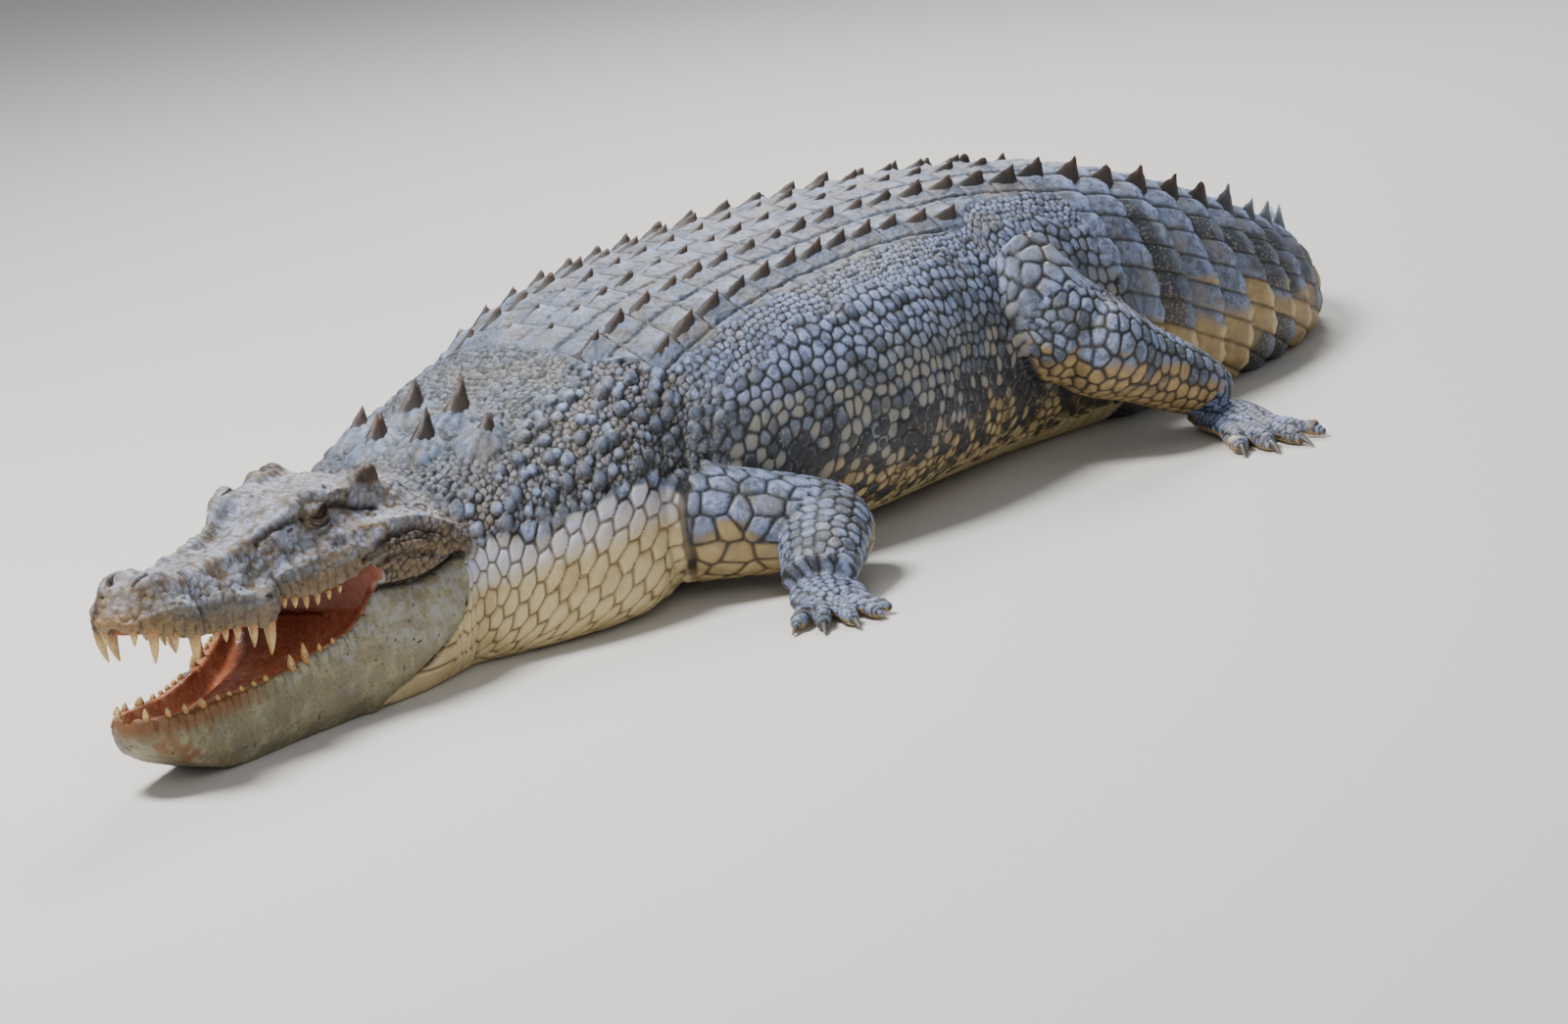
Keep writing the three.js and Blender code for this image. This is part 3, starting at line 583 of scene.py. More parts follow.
def arc_at(s, angle):
    """Looks the arc length up between the nearest sections and angles."""
    i = np.clip((s - ARC_PLACES[0]) / (ARC_PLACES[1] - ARC_PLACES[0]), 0, len(ARC_PLACES) - 1.001)
    j = np.clip(angle / ARC_ANGLES[1], 0, len(ARC_ANGLES) - 1.001)
    a, b = i.astype(int), j.astype(int)
    f, g = i - a, j - b
    top = arc_table[a, b] * (1 - g) + arc_table[a, b + 1] * g
    end = arc_table[a + 1, b] * (1 - g) + arc_table[a + 1, b + 1] * g
    return top * (1 - f) + end * f


def counted(sizes, low, high):
    """How many scales lie between the low end and a place, for scales whose size follows a curve."""
    x = np.linspace(low, high, 500)
    total = np.cumsum((x[1] - x[0]) / curve(sizes)(x))
    return lambda place: np.interp(place, x, total)


def to_border(x):
    """Distance of a count to the nearest whole number."""
    f = x - np.floor(x)
    return np.minimum(f, 1 - f)


# Half width of the shield of back plates, along the arc.
shield_half = curve([[1040, 120], [1109, 170], [1170, 245], [1950, 245], [2030, 180], [2230, 150],
                     [2500, 120], [LENGTH, 20]])
# Arc from the middle of the back where the pale throat scales begin, and a count of their rows along the
# neck from the length of a scale at each place.
throat_edge = curve([[560, 215], [660, 205], [720, 235], [860, 300], [960, 330], [1060, 370], [1180, 520]])
throat_columns = counted([[560, 14], [680, 17], [730, 28], [790, 40], [1000, 44], [1300, 36]], 560, 1300)
# Keels of the neck: place, distance from the middle, length, width and height.
NECK_KEELS = [(770, 42, 80, 48, 58), (864, 44, 80, 48, 58), (828, 118, 72, 42, 52)]
NECK_PLATE = (58, 44)             # half length and half width of the plate under each of them
WHORL_PLATE = 46                  # width of a plate in a ring of the tail
GROOVE_REACH = 8.0                # a groove's shade may spread this far from the border of a scale
# Where along the back one kind of scale gives way to another, as the two ends of the change.
SHIELD_BEGINS = (1070, 1076)
THROAT_ENDS = (1075, 1035)
GRAINS_END = (1090, 1060)
SHOULDER_ENDS = (1270, 1130)
WHORLS_BEGIN = 2245
ARM_FOLD_ENDS = (1100, 1060)


# Each pattern's crown value is 1 where a painted highlight lies on the top of a scale.
def domes(best, radius):
    """Round tops: 1 in the middle of a scale, 0 from its radius on."""
    return np.sqrt(np.clip(1 - (best / radius) ** 2, 0, 1))


# A pattern's groove value falls towards 0 at the border between scales, where the hide is darkened with
# painted shade.
def from_border(margin, pitch):
    """0 on the border between two scales, 1 from the groove's reach on: half the margin times the pitch."""
    return np.clip(margin * pitch / 2 / min(GROOVE_REACH, 0.3 * pitch), 0, 1)


def shield_pattern(s, u, p):
    """Back plates in rows and columns: each rises to a ridge that runs back into the keel, with furrows
    spreading from it and small scales along its sides."""
    row = (s - FIRST_ROW) / ROW_SPACING + 0.5 + 0.05 * noise(p, 70, 30)
    column = u / (COLUMN_SPACING * (1 - 0.12 * np.clip((row - 12) / 4, 0, 1)))
    across = column - np.floor(column) - 0.5
    along = row - np.floor(row)
    wide = COLUMN_SPACING * to_border(column + 0.04 * noise(p, 25, 31))
    ahead = to_border(row) * ROW_SPACING
    plate = smooth(0, 4, ahead) * smooth(0, 5, wide)
    ridge = (1 - 2 * np.abs(across)) ** 2.2 * smooth(0.0, 0.6, along) * smooth(1.0, 0.85, along)
    furrow = np.sin(np.arctan2(across, 1.05 - along) * 34 + 3 * noise(p, 30, 32))
    best, margin, _ = cells(s / 12, u / 11, 0.7)
    small = smooth(17, 9, wide)
    seam = np.minimum(np.maximum(ahead / GROOVE_REACH, 0.28), (wide + 2) / GROOVE_REACH)
    return {"height": (3.2 * plate + 5.5 * ridge + 0.18 * furrow * plate + 0.5 * noise(p, 12, 37) - 2.2
                       + small * (1.6 * domes(best, 0.6) - 1.0)),
            "groove": np.clip(seam, 0, 1) * (1 - 0.5 * small * smooth(0.25, 0, margin)),
            "crown_highlight": 0.2 + 0.5 * ridge + 0.08 * furrow * plate + 0.2 * noise(p, 18, 38),
            "tone": hashed(np.floor(row), np.floor(column))}


def tail_pattern(s, u, p):
    """Whorls of the tail: each ring rises to a ragged rear edge and drops to the next; narrow plates round it
    are parted by shallow grooves."""
    shift = 14 * np.sin(np.clip(u / 260, 0, 1) * np.pi) + 3 * noise(p, 40, 33)
    column = u / WHORL_PLATE + 0.3 * hashed(np.floor((s - TAIL_START + shift) / RING_SPACING), 0)
    tooth = 1 - 2 * to_border(column)
    ring = (s - TAIL_START + shift - 5 * (1 - tooth) ** 2) / RING_SPACING
    along = ring - np.floor(ring)
    size = np.clip(half_width(s) / 120, 0.22, 1)
    step = (1 - (1 - along) ** 2.2) * (1 - smooth(0.93, 1.0, along))
    side = to_border(column) * WHORL_PLATE
    plate = smooth(0, 6, side)
    ridge = smooth(0.5, 0.0, np.abs(column - np.floor(column) - 0.5)) * along
    height = size * (12.0 * step + 2.0 * plate * smooth(0, 0.1, along) + 1.8 * ridge - 8.0)
    # The groove value also lays a band of painted shade behind each ring's rear edge.
    groove = np.minimum(np.maximum(side / GROOVE_REACH, 0.22), along * RING_SPACING / (2.2 * GROOVE_REACH))
    pair = np.floor(column / 2 + 0.5 * (np.floor(ring) % 2))
    return {"height": height + 0.7 * noise(p, 13, 39), "groove": np.clip(groove, 0, 1),
            "crown_highlight": (0.3 + 0.2 * ridge) * plate + 0.7 * smooth(0.55, 0.9, along),
            "tone": 0.65 * hashed(np.floor(ring), pair) + 0.35 * hashed(np.floor(ring), np.floor(column), 3)}


def flank_pattern(s, u, p):
    """Rows of oval scales, small and drawn out under the shield, round and larger towards the belly."""
    out = u - shield_half(s) + 9 * noise(p, 60, 3)
    found = []
    for pitch, rows, lift, seed in ((15, 12, 2.4, 40), (25, 23, 4.2, 41)):
        best, margin, tone = cells(s / pitch + 0.22 * noise(p, 80, seed), out / rows, 0.55)
        big = 0.45 + 0.2 * tone
        found.append({"height": domes(best, 0.66) * lift * (0.5 + 0.5 * tone) - 0.3 * lift,
                      "groove": from_border(margin, pitch), "crown_highlight": smooth(0.8, 0.15, best), "tone": tone,
                      "spot": smooth(big * 0.85, big * 0.6, best)})
    return blended([(np.ones(len(s)), found[0]), (smooth(45, 85, out + 30 * noise(p, 35, 42)), found[1])])


def bump_pattern(s, u, p):
    """Round raised scales of mixed sizes on the shoulder and the side of the neck, small grains between."""
    best, _, tone = cells(s / 30 + 0.25 * noise(p, 70, 5), u / 28, 0.9)
    radius = 0.24 + 0.30 * tone
    dome = domes(best, radius)
    fine, fine_margin, fine_tone = cells(s / 13, u / 12, 0.8)
    grain = domes(fine, 0.55) * (0.7 + 1.5 * fine_tone) * (1 - dome)
    # A ring of painted shade round the base of each dome.
    rim = np.clip(np.abs(best - radius * 1.04) * 29 / GROOVE_REACH * 2, 0, 1)
    return {"height": dome * (3.0 + 5.0 * tone) + grain * 1.4 - 2.0,
            "groove": rim * np.maximum(dome > 0, from_border(fine_margin, 12)),
            "crown_highlight": np.maximum(0.9 * smooth(0.6, 1, dome), 0.4 * grain),
            "tone": np.where(dome > 0, tone, fine_tone), "spot": (dome == 0) * 1.0}


def throat_pattern(s, u, p):
    """Six-sided throat scales in slanting lines, small behind the jaw and large on the fold, with narrow
    deep grooves."""
    best, margin, tone = cells(throat_columns(s) + 0.12 * noise(p, 80, 6), u / 32 + (s - 700) / 190, 0.3)
    return {"height": 2.6 * smooth(0, 0.3, margin) + 2.4 * domes(best, 0.75) - 3.4,
            "groove": from_border(margin, 32), "crown_highlight": smooth(0.7, 0.1, best), "tone": tone}


def grain_pattern(s, u, p):
    """Small flat grains on top of the neck and in the folds."""
    best, margin, tone = cells(s / 13 + 0.25 * noise(p, 40, 7), u / 11, 0.8)
    return {"height": domes(best, 0.62) * (1.2 + 2.2 * tone) - 1.0, "groove": from_border(margin, 12),
            "crown_highlight": 0.32 * smooth(0.5, 0.05, best), "tone": tone}


def belly_pattern(s, under):
    """Square belly scales in straight cross rows."""
    row, column = s / 34, under / 38
    away = np.minimum(to_border(row) * 34, to_border(column) * 38)
    plate = smooth(0, 5, away)
    return {"height": 1.8 * plate - 1.2, "groove": np.clip(away / GROOVE_REACH, 0, 1), "crown_highlight": 0.5 * plate,
            "tone": hashed(np.floor(row), np.floor(column))}


def mix(made, laid, share):
    """Lays other values over those made already: each is the old one times what the share leaves, plus the
    new one times the share."""
    for key, value in laid.items():
        made[key] = made.get(key, 0.0) * (1 - share) + share * value


def blended(patterns):
    """Patterns mixed by their weights, later ones laid over earlier ones. Only some of them have spots: dark
    middles of flank scales, and grains between the bumps of the shoulder."""
    made = {}
    for weight, pattern in patterns:
        mix(made, {"spot": 0.0, **pattern}, weight)
    return made


def plates_under_keels(made, s, u, p):
    """Oval plates with furrows that carry the keels of the neck, laid over the scales there."""
    for place, out, *_ in NECK_KEELS:
        along, across = (s - place + 6) / NECK_PLATE[0], (u - out) / NECK_PLATE[1]
        r = np.hypot(along, across) * (1 + 0.1 * noise(p, 22, 34))
        plate = smooth(1.0, 0.72, r)
        furrow = np.sin(np.arctan2(across, 0.6 - along) * 17 + 2 * noise(p, 20, 35))
        rise = 10 - 8 * r + 5 * np.clip(1 - np.abs(across), 0, 1) ** 2 + 0.5 * furrow
        made["height"] = made["height"] + plate * (rise - 0.7 * made["height"])
        # Painted shade in the plate's furrows and painted highlights on the ridges between them.
        mix(made, {"groove": 0.75 + 0.25 * furrow, "tone": 0.45 + 0.3 * noise(p, 16, 36),
                   "crown_highlight": 0.3 + 0.2 * furrow}, plate)


def body_relief(p, s, left, z, jitter):
    """All the scales of neck, trunk and tail, with the masks that colour them, and how far out each point
    lies. Each kind of scale has a zone, bounded by places along the back and arcs from its middle."""
    angle, reach = section_angle(s, left, z)
    u = arc_at(s, angle)
    under = arc_at(s, np.full(len(s), np.pi)) - u
    wander = 14 * jitter
    shield = smooth(5, -5, u - shield_half(s) + 0.5 * wander) * smooth(*SHIELD_BEGINS, s)
    tail = smooth(-14, 14, s - WHORLS_BEGIN - 0.35 * np.clip(u - 140, 0, 200) + wander)
    throat = smooth(-9, 9, u - throat_edge(s) + wander) * smooth(*THROAT_ENDS, s + wander)
    front = smooth(*SHOULDER_ENDS, s + 0.25 * (u - 250) + 2 * wander)
    grain = smooth(*GRAINS_END, s) * smooth(175, 130, u + wander)
    belly = smooth(8, -8, under - 0.80 * np.clip(half_width(s), 30, 400) + wander)
    made = blended([
        (np.ones(len(s)), flank_pattern(s, u, p)), (front, bump_pattern(s, u, p)),
        (grain, grain_pattern(s, u, p)), (throat, throat_pattern(s, u, p)),
        (shield, shield_pattern(s, u, p)), (tail, tail_pattern(s, u, p)),
        (belly * (1 - tail), belly_pattern(s, under))])
    plates_under_keels(made, s, u, p)
    made["height"] *= smooth(-1, 8, z)
    flat = np.stack([s, u, 0 * s], 1)
    blotch = noise(flat, 120, 8) + 0.5 * noise(flat, 45, 9)
    low = np.clip((back_height(s) * 0.62 - z) / (back_height(s) * 0.5), -1, 1.2)
    past_throat = u - throat_edge(s)
    trunk = (1 - throat) * (1 - tail)
    tone, spot = made["tone"], made["spot"]
    share = (0.18 + 0.36 * smooth(-0.3, 0.2, low) - 0.16 * smooth(0.5, 0.8, low)
             - 0.3 * smooth(0.85, 1.05, low) + 0.22 * blotch + 0.25 * front) * (1 - 0.6 * shield)
    whorl_share = 0.2 + 0.2 * blotch + 0.16 * smooth(80, 180, u)
    whorl_dark = smooth(-0.06, 0.1, tone - 1 + whorl_share) * smooth(30, 90, u)
    dark = smooth(-0.12, 0.12, tone - 1 + share) * trunk * (0.6 + 0.4 * smooth(-0.2, 0.3, low))
    made["dark"] = np.where(tail > 0.5, whorl_dark, dark)
    other = np.mod(tone * 7.31, 1)
    whorl_tan = smooth(0.25, 0.5, low + 0.15 * blotch + 0.5 * (other - 0.42)) * smooth(60, 130, u)
    tan = smooth(0.3, 0.85, low + 0.2 * blotch + 0.3 * (tone - 0.5)) * (1 - throat)
    tan = np.maximum(tan, 0.36 * spot * front * trunk * (1 - shield) * (1 - grain))
    made["tan"] = tan * (1 - tail) + tail * whorl_tan
    made["under"] = np.maximum(throat * smooth(-0.2, 0.7, past_throat / 90 + 0.5 * (tone - 0.5)),
                               smooth(0.85, 1.1, low + 0.1 * blotch) * (1 - tail))
    made["eyed"] = (spot * trunk * (1 - shield) * (1 - front) * smooth(0.15, 0.45, low)
                    * smooth(0.25, 0.5, tone))
    # Upper trunk, tail and top of the throat: grey hide, which also carries a bluish painted sky sheen.
    made["grey_and_sky_sheen"] = (trunk * smooth(0.2, -0.3, low) + tail * (1 - 0.8 * whorl_tan)
                    + throat * smooth(110, 20, past_throat))
    return made, reach


# ---- limbs on the skin -------------------------------------------------------------------------


def limb_segments():
    """Every straight line of the limbs: start, end, radius at both, place along the limb, and zone, which is
    0 on the upper length, 1 on the lower, 2 on the palm and 3 on the toes."""
    found = []
    low = np.array([0, 0, 20.0])
    for limb in LIMBS:
        root, bend, end, palm, way, digits = limb_lines(*limb)
        girth = limb[3]
        one, two = np.linalg.norm(bend - root), np.linalg.norm(end - bend)
        tip = palm + way * girth["palm_length"] + low
        found += [(root, bend, girth["root"][0], girth["bend"][0], 0, 0),
                  (bend, end, girth["bend"][0], girth["end"][0], one, 1),
                  (palm + low, tip, girth["palm"], girth["palm"], one + two, 2)]
        found += [(start + low * 0.9, start + line * length + low * 0.5, thick, thick * 0.5,
                   one + two + girth["palm_length"], 3) for start, line, length, thick, _ in digits]
    return found


# Share of its length that each zone's line counts to, so that no scales run together at its end.
LINE_REACH = (0.75, 0.86, 1.1, 1.1)
WRIST = 0.45                      # the palm's line counts as this much thicker at its rear end


def limb_places(p):
    """For each point the nearest limb line, measured in its radius: the ratio, the zone, and the point in
    the line's own places: along it, and across it both ways."""
    ratio = np.full(len(p), 1e9)
    own_place = np.zeros((len(p), 3))
    zone = np.zeros(len(p))
    for a, b, ra, rb, start, number in limb_segments():
        length = np.linalg.norm(b - a)
        way = (b - a) / length
        t = (p - a) @ way
        r = ra + (rb - ra) * np.clip(t / length, 0, 1)
        off = p - a - way * np.clip(t, -0.1 * length, LINE_REACH[number] * length)[:, None]
        if number == 2:
            r = r * (1 + WRIST * smooth(0.55, 0.25, t / length))
        away = np.linalg.norm(off, axis=1) / r
        across = np.cross([0, 0, 1], way)
        across /= np.linalg.norm(across)
        local = np.stack([start + t, off @ across, off @ np.cross(way, across)], 1)
        nearer = away < ratio
        ratio = np.where(nearer, away, ratio)
        own_place = np.where(nearer[:, None], local, own_place)
        zone = np.where(nearer, number, zone)
    return ratio, zone, own_place


# Scales of the upper length, the lower length and the palm: pitch along, pitch round, the radius that they
# are laid out on, depth and irregularity.
LIMB_SCALES = [(44, 42, 96, 2.2, 0.6), (23, 31, 74, 1.7, 0.42), (13, 24, 48, 1.3, 0.4)]


def limb_relief(p, normal, zone, local):
    """Limb scales: many-sided plates on the upper length, cross rows on the lower, small scales on the palm
    and rings on the toes. Each is laid out along the limb and round it, parted underneath."""
    wavy = 5 * noise(p, 60, 11)
    around = np.arctan2(local[:, 1], local[:, 2])
    found = []
    for pitch, rows, round_at, deep, jitter in LIMB_SCALES:
        best, margin, tone = cells((local[:, 0] + wavy) / pitch, (around * round_at + wavy) / rows, jitter)
        found.append((deep * (smooth(0, 0.3, margin) + 0.9 * domes(best, 0.8) - 1.2),
                      from_border(margin, (pitch + rows) / 2), tone,
                      0.22 + 0.5 * smooth(0.75, 0.15, best) + 0.15 * noise(p, 16, 18)))
    ring = (local[:, 0] + 1.5 * noise(p, 20, 14)) / 8
    ring_margin = 2 * to_border(ring)
    found.append((2.6 * smooth(0, 0.6, ring_margin) - 1.4, ring_margin, hashed(np.floor(ring), 0),
                  ring_margin))
    where = [zone == k for k in range(4)]
    height, groove, tone, crown_highlight = (np.select(where, [kind[k] for kind in found]) for k in range(4))
    low = smooth(0.2, -0.4, normal[:, 2] + 0.3 * noise(p, 55, 16) + 0.5 * (tone - 0.5))
    low = low * (1 - 0.85 * where[2] * smooth(28, 45, p[:, 2]))
    dark = smooth(0.05, 0.5, 0.6 * noise(p, 90, 15) + 1.1 * (tone - 0.55)) * 0.85 * (1 - 0.5 * low)
    root = where[0] * smooth(120, 20, local[:, 0] + 20 * noise(p, 40, 17))
    # The side that faces up is grey, with a bluish painted sky sheen; the side that faces down is tan.
    return {"height": height * smooth(-1, 6, p[:, 2]), "groove": groove, "tone": tone, "crown_highlight": crown_highlight,
            "dark": dark, "tan": low, "under": 0.35 * low * where[0], "eyed": 0 * tone,
            "grey_and_sky_sheen": (1 - low) * (1 - 0.6 * root)}


# ---- head on the skin --------------------------------------------------------------------------


def from_line(p, line):
    """Distance of points to a broken line, both given by the same two places."""
    line = np.array(line, float)
    best = np.full(len(p), 1e9)
    for a, b in zip(line[:-1], line[1:]):
        way = b - a
        t = np.clip((p - a) @ way / (way @ way), 0, 1)[:, None]
        best = np.minimum(best, np.linalg.norm(p - a - t * way, axis=1))
    return best


def within(places, outline):
    """True inside a closed outline: a ray to one side crosses its edges an odd number of times."""
    x, y = places.T
    inside = np.zeros(len(x), bool)
    for (x0, y0), (x1, y1) in zip(outline, outline[1:] + outline[:1]):
        crosses = ((y0 > y) != (y1 > y)) & (x < (x1 - x0) * (y - y0) / ((y1 - y0) or 1) + x0)
        inside ^= crosses
    return inside


# Ridges and furrows of the head that follow a line: its points, half width, and height or depth. Seen from
# above a point is place and distance from the middle; seen from the side it is place and height.
TOP_FORMS = [
    ([(392, 60), (345, 53), (290, 44), (235, 38), (190, 34)], 9, 10),
    ([(380, 34), (330, 26), (270, 16)], 12, -5),
    ([(165, 22), (130, 22), (95, 24)], 24, 12),
    ([(225, 0), (190, 6), (150, 0)], 14, 5),
    ([(378, 58), (400, 68), (425, 76), (460, 76), (505, 72)], 12, 9),
    ([(505, 70), (535, 76), (558, 80)], 13, 13),
    ([(430, 0), (520, 0), (590, 0)], 30, -6),
    ([(300, 10), (250, 14), (200, 22)], 8, 3),
    ([(40, 20), (52, 27), (66, 25)], 3.4, -11),
    ([(34, 26), (50, 35), (72, 33)], 7, 3),
]
SIDE_FORMS = [
    ([(392, 302), (360, 302), (330, 298), (290, 288)], 5, -6),
    ([(395, 280), (330, 262), (260, 254), (200, 250)], 13, -6),
    ([(125, 285), (126, 250), (124, 204)], 5, -4),
    ([(286, 250), (288, 222), (286, 202)], 5, -4),
    ([(428, 309), (460, 304), (500, 292), (532, 283)], 4, -7),
    ([(434, 320), (470, 318), (505, 306), (540, 296)], 6, 4),
    ([(400, 272), (450, 268), (500, 268), (560, 262)], 14, 6),
    ([(404, 262), (418, 260)], 6, -4),
    ([(386, 250), (440, 246), (500, 228)], 10, 4),
    ([(300, 236), (350, 232), (400, 240)], 12, -3),
    ([(438, 230), (468, 244), (498, 250), (550, 249), (598, 232)], 5, -6),
    ([(444, 240), (480, 256), (530, 262), (590, 250), (640, 226)], 8, 4),
    ([(454, 228), (480, 236), (510, 239), (556, 234), (580, 224)], 3.5, -3.5),
    ([(458, 214), (480, 220), (506, 222), (545, 214), (575, 204)], 3.5, -3.5),
]
# Round lobe at the rear of the lower jaw, as place and height, and the groove that bounds it.
LOBE = [(438, 186), (480, 180), (534, 175), (585, 181), (625, 187), (643, 184), (651, 172), (648, 150),
        (638, 128), (622, 98), (586, 70), (538, 46), (498, 26), (468, 8), (455, -20)]
JAW_OUTLINE = LOBE + [(-60, -20), (-60, 190)]
# Bumps and hollows: middle as place, distance from the middle line and height; half sizes; height or depth.
HEAD_BUMPS = [((540, 80, 330), (30, 14, 12), 5), ((598, 72, 326), (22, 24, 22), -9),
              ((243, 90, 214), (26, 30, 26), 7), ((56, 21, 305), (30, 30, 24), 7),
              ((90, 74, 226), (24, 20, 24), 4), ((500, 128, 258), (10, 12, 7), -6),
              ((160, 66, 235), (20, 20, 22), 4), ((205, 78, 240), (20, 24, 20), 4),
              ((590, 172, 130), (55, 40, 50), 8)]
HORN_TOP = (534, 86, 334)         # worn dark top of the bump at the rear corner of the skull table
LID_SLOPE = 0.3                   # the rear corner of the eye lies higher
LID_RISE = 1.0                    # the opening's middle lies this far above the eye's
LID_POWER = 2.2                   # roundness of its two edges
LID = (22.0, 11.5)                # half length and half height of the opening


def eye_opening(p, side):
    """1 inside the almond opening of an eye, from the point's places behind and above the eye's middle,
    with the direction and distance from that middle."""
    centre, back, outwards = eye_at(side)
    off = p - centre
    along, out = off @ back, off @ outwards
    half = LID[1] * np.clip(1 - np.abs(along / LID[0]) ** LID_POWER, 0.02, 1)
    away = np.linalg.norm(off, axis=1)
    rise = np.abs(off[:, 2] - LID_RISE - LID_SLOPE * along)
    open_here = smooth(1.12, 0.82, rise / half) * (out > 4) * (away < 34)
    return open_here, off / away[:, None], away


def mouth_mask(s, out, z, normal):
    """1 on the palate and the mouth floor, 0 outside the lips."""
    ahead = smooth(MOUTH_CORNER + 12, MOUTH_CORNER - 4, s)
    roof = (z < lip_height(s) + PALATE_RISE + 6) & (z > lip_height(s) - 8) & (normal[:, 2] < 0.25)
    floor = (z < rim_height(s) + 4) & (z > rim_height(s) - FLOOR_DROP - 12) & (normal[:, 2] > -0.2)
    cheek = smooth(9, 15, cheek_half(s) - out) * roof * smooth(66, 92, s)
    rim = smooth(9, 15, jaw_half(s) - out) * floor * smooth(8, 26, s)
    between = (z < lip_height(s) - 3) & (z > rim_height(s) + 3) & (s > 380) & (s < MOUTH_CORNER + 6)
    return np.maximum(np.maximum(cheek, rim) * ahead, between)


def head_forms(s, out, z, normal, outer):
    """Height of the bony forms of the skull and the folds, how dark their furrows are, and the share of the
    jaw's lobe. Across its line a form is a bell curve; a bump is one in space."""
    turn = np.radians(heading(s))
    sideways = np.abs(-np.sin(turn) * normal[:, 0] - np.cos(turn) * normal[:, 1])
    height = np.zeros(len(s))
    depth = np.zeros(len(s))
    top, side = np.stack([s, out], 1), np.stack([s, z], 1)
    for forms, places, share in ((TOP_FORMS, top, smooth(0.15, 0.6, normal[:, 2]) * (z > 200)),
                                 (SIDE_FORMS, side, smooth(0.2, 0.6, sideways))):
        for line, width, lift in forms:
            form = np.exp(-(from_line(places, line) / width) ** 2) * share * outer
            height += lift * form
            # Thin furrows are darkened with painted shade.
            depth += np.clip(-lift / 9, 0, 1) * form * (width < 8)
    for middle, size, lift in HEAD_BUMPS:
        r = np.linalg.norm((np.stack([s, out, z], 1) - middle) / size, axis=1)
        height += lift * np.exp(-1.4 * r ** 2) * outer
    seam = from_line(side, LOBE)
    lobe = within(side, JAW_OUTLINE) * outer
    seam_share = outer * smooth(428, 450, s)
    height += seam_share * (-10 * np.exp(-(seam / 4.5) ** 2) + 5 * lobe * smooth(0, 26, seam))
    # The seam round the jaw's lobe is darkened with painted shade too.
    depth += seam_share * np.exp(-(seam / 4.0) ** 2)
    return height, depth, lobe


def head_relief(p, normal, s, left, z):
    """The head's forms with lip grooves and the fine wrinkled hide over them, and the masks that colour
    them."""
    out = np.abs(left)
    outer = 1 - mouth_mask(s, out, z, normal)
    height, depth, lobe = head_forms(s, out, z, normal, outer)
    upper = z > (lip_height(s) + rim_height(s)) / 2
    gap = np.where(upper, z - lip_height(s), rim_height(s) - z)
    lip = smooth(46, 8, gap) * smooth(-30, -4, gap) * smooth(MOUTH_CORNER, 430, s) * outer
    lip_groove = to_border(s / 17 + 0.35 * noise(p, 30, 20))
    height += lip * (2.2 * smooth(0, 0.3, lip_groove) - 1.6) + 2.2 * lip * (1 - upper) * noise(p, 11, 26)
    jaw = np.maximum(lobe, smooth(20, -20, z - lip_height(s)) * (s < 470)) * outer
    net = (1 - jaw) * (s > 470) * (z < 250) * outer
    rough = noise(p, 26, 21) + 0.6 * noise(p, 12, 22)
    best, margin, tone = cells3((p + 3 * noise(p, 25, 23)[:, None]) / [13, 13, 9.5], 0.85)
    hide_share = (1 - jaw) * outer
    bump = (2.0 + 0.5 * net) * domes(best, 0.72) * (0.35 + tone)
    height += hide_share * (1.9 * rough * (1 - net) + bump - 1.2)
    height += jaw * (0.7 * noise(p, 30, 28) + 0.5 * noise(p, 6, 29))
    pits = smooth(0.66, 0.88, noise(p, 7, 24)) * outer
    height -= 1.4 * pits
    for one in (1, -1):
        open_here, _, _ = eye_opening(p, one)
        height *= 1 - open_here
    chin = jaw * smooth(230, 70, s)
    rim_rust = np.maximum(lip * (1 - upper) * smooth(300, 150, s), 0.75 * chin * smooth(-0.4, 0.4, rough))
    from_horn = np.stack([(s - HORN_TOP[0]) * 0.6, (out - HORN_TOP[1]) * 0.9, z - HORN_TOP[2]], 1)
    horn_top = smooth(34, 17, np.linalg.norm(from_horn, axis=1))
    snout_tip = smooth(80, 25, s) * upper
    # The groove value darkens furrows, lip grooves and the borders of the head's scales with painted shade.
    return {"height": height,
            "groove": np.clip(1 - depth - 0.45 * lip * smooth(0.14, 0, lip_groove)
                              - (0.25 + 0.6 * net) * hide_share * smooth(0.22, 0, margin), 0, 1),
            "tone": 0.5 * tone + 0.25 + 0.25 * rough, "crown_highlight": hide_share * smooth(0.6, 0.1, best),
            "dark": np.clip(0.8 * pits + 0.3 * smooth(0.2, 0.9, rough) * hide_share + 0.85 * horn_top
                            + 0.4 * snout_tip * smooth(-0.2, 0.5, rough), 0, 1),
            "tan": np.maximum(0.5 * lip * upper + rim_rust + 0.5 * snout_tip,
                              0.45 * smooth(0.1, 0.8, noise(p, 60, 25)) * hide_share + 0.5 * net),
            "under": np.clip(jaw, 0, 1), "rust": np.clip(rim_rust + horn_top, 0, 1),
            "eyed": 0 * tone, "mouth": 1 - outer,
            # Hide that faces up is grey-lavender with painted sky sheen; the jaw turns greyer higher up.
            "grey_and_sky_sheen": np.maximum(hide_share * smooth(-0.1, 0.7, normal[:, 2]),
                               jaw * smooth(70, 170, z + 0.1 * s - 20 + 30 * rough))}


# ---- skin --------------------------------------------------------------------------------------

BODY_VOXEL, HEAD_VOXEL = ((3.7, 2.3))
NECK_SEAM = 760.0                 # the finer head skin and the body skin meet here,
SEAM_LAP = 3                      # with a narrow lap
TILE_MARGIN = 0.02                # free share at each side of a tile of the bake map
# What the skin stores for its finishes; only the head has the last two.
MASKS = ("groove", "tone", "crown_highlight", "dark", "tan", "under", "eyed", "grey_and_sky_sheen", "rust", "mouth", "deep", "head")


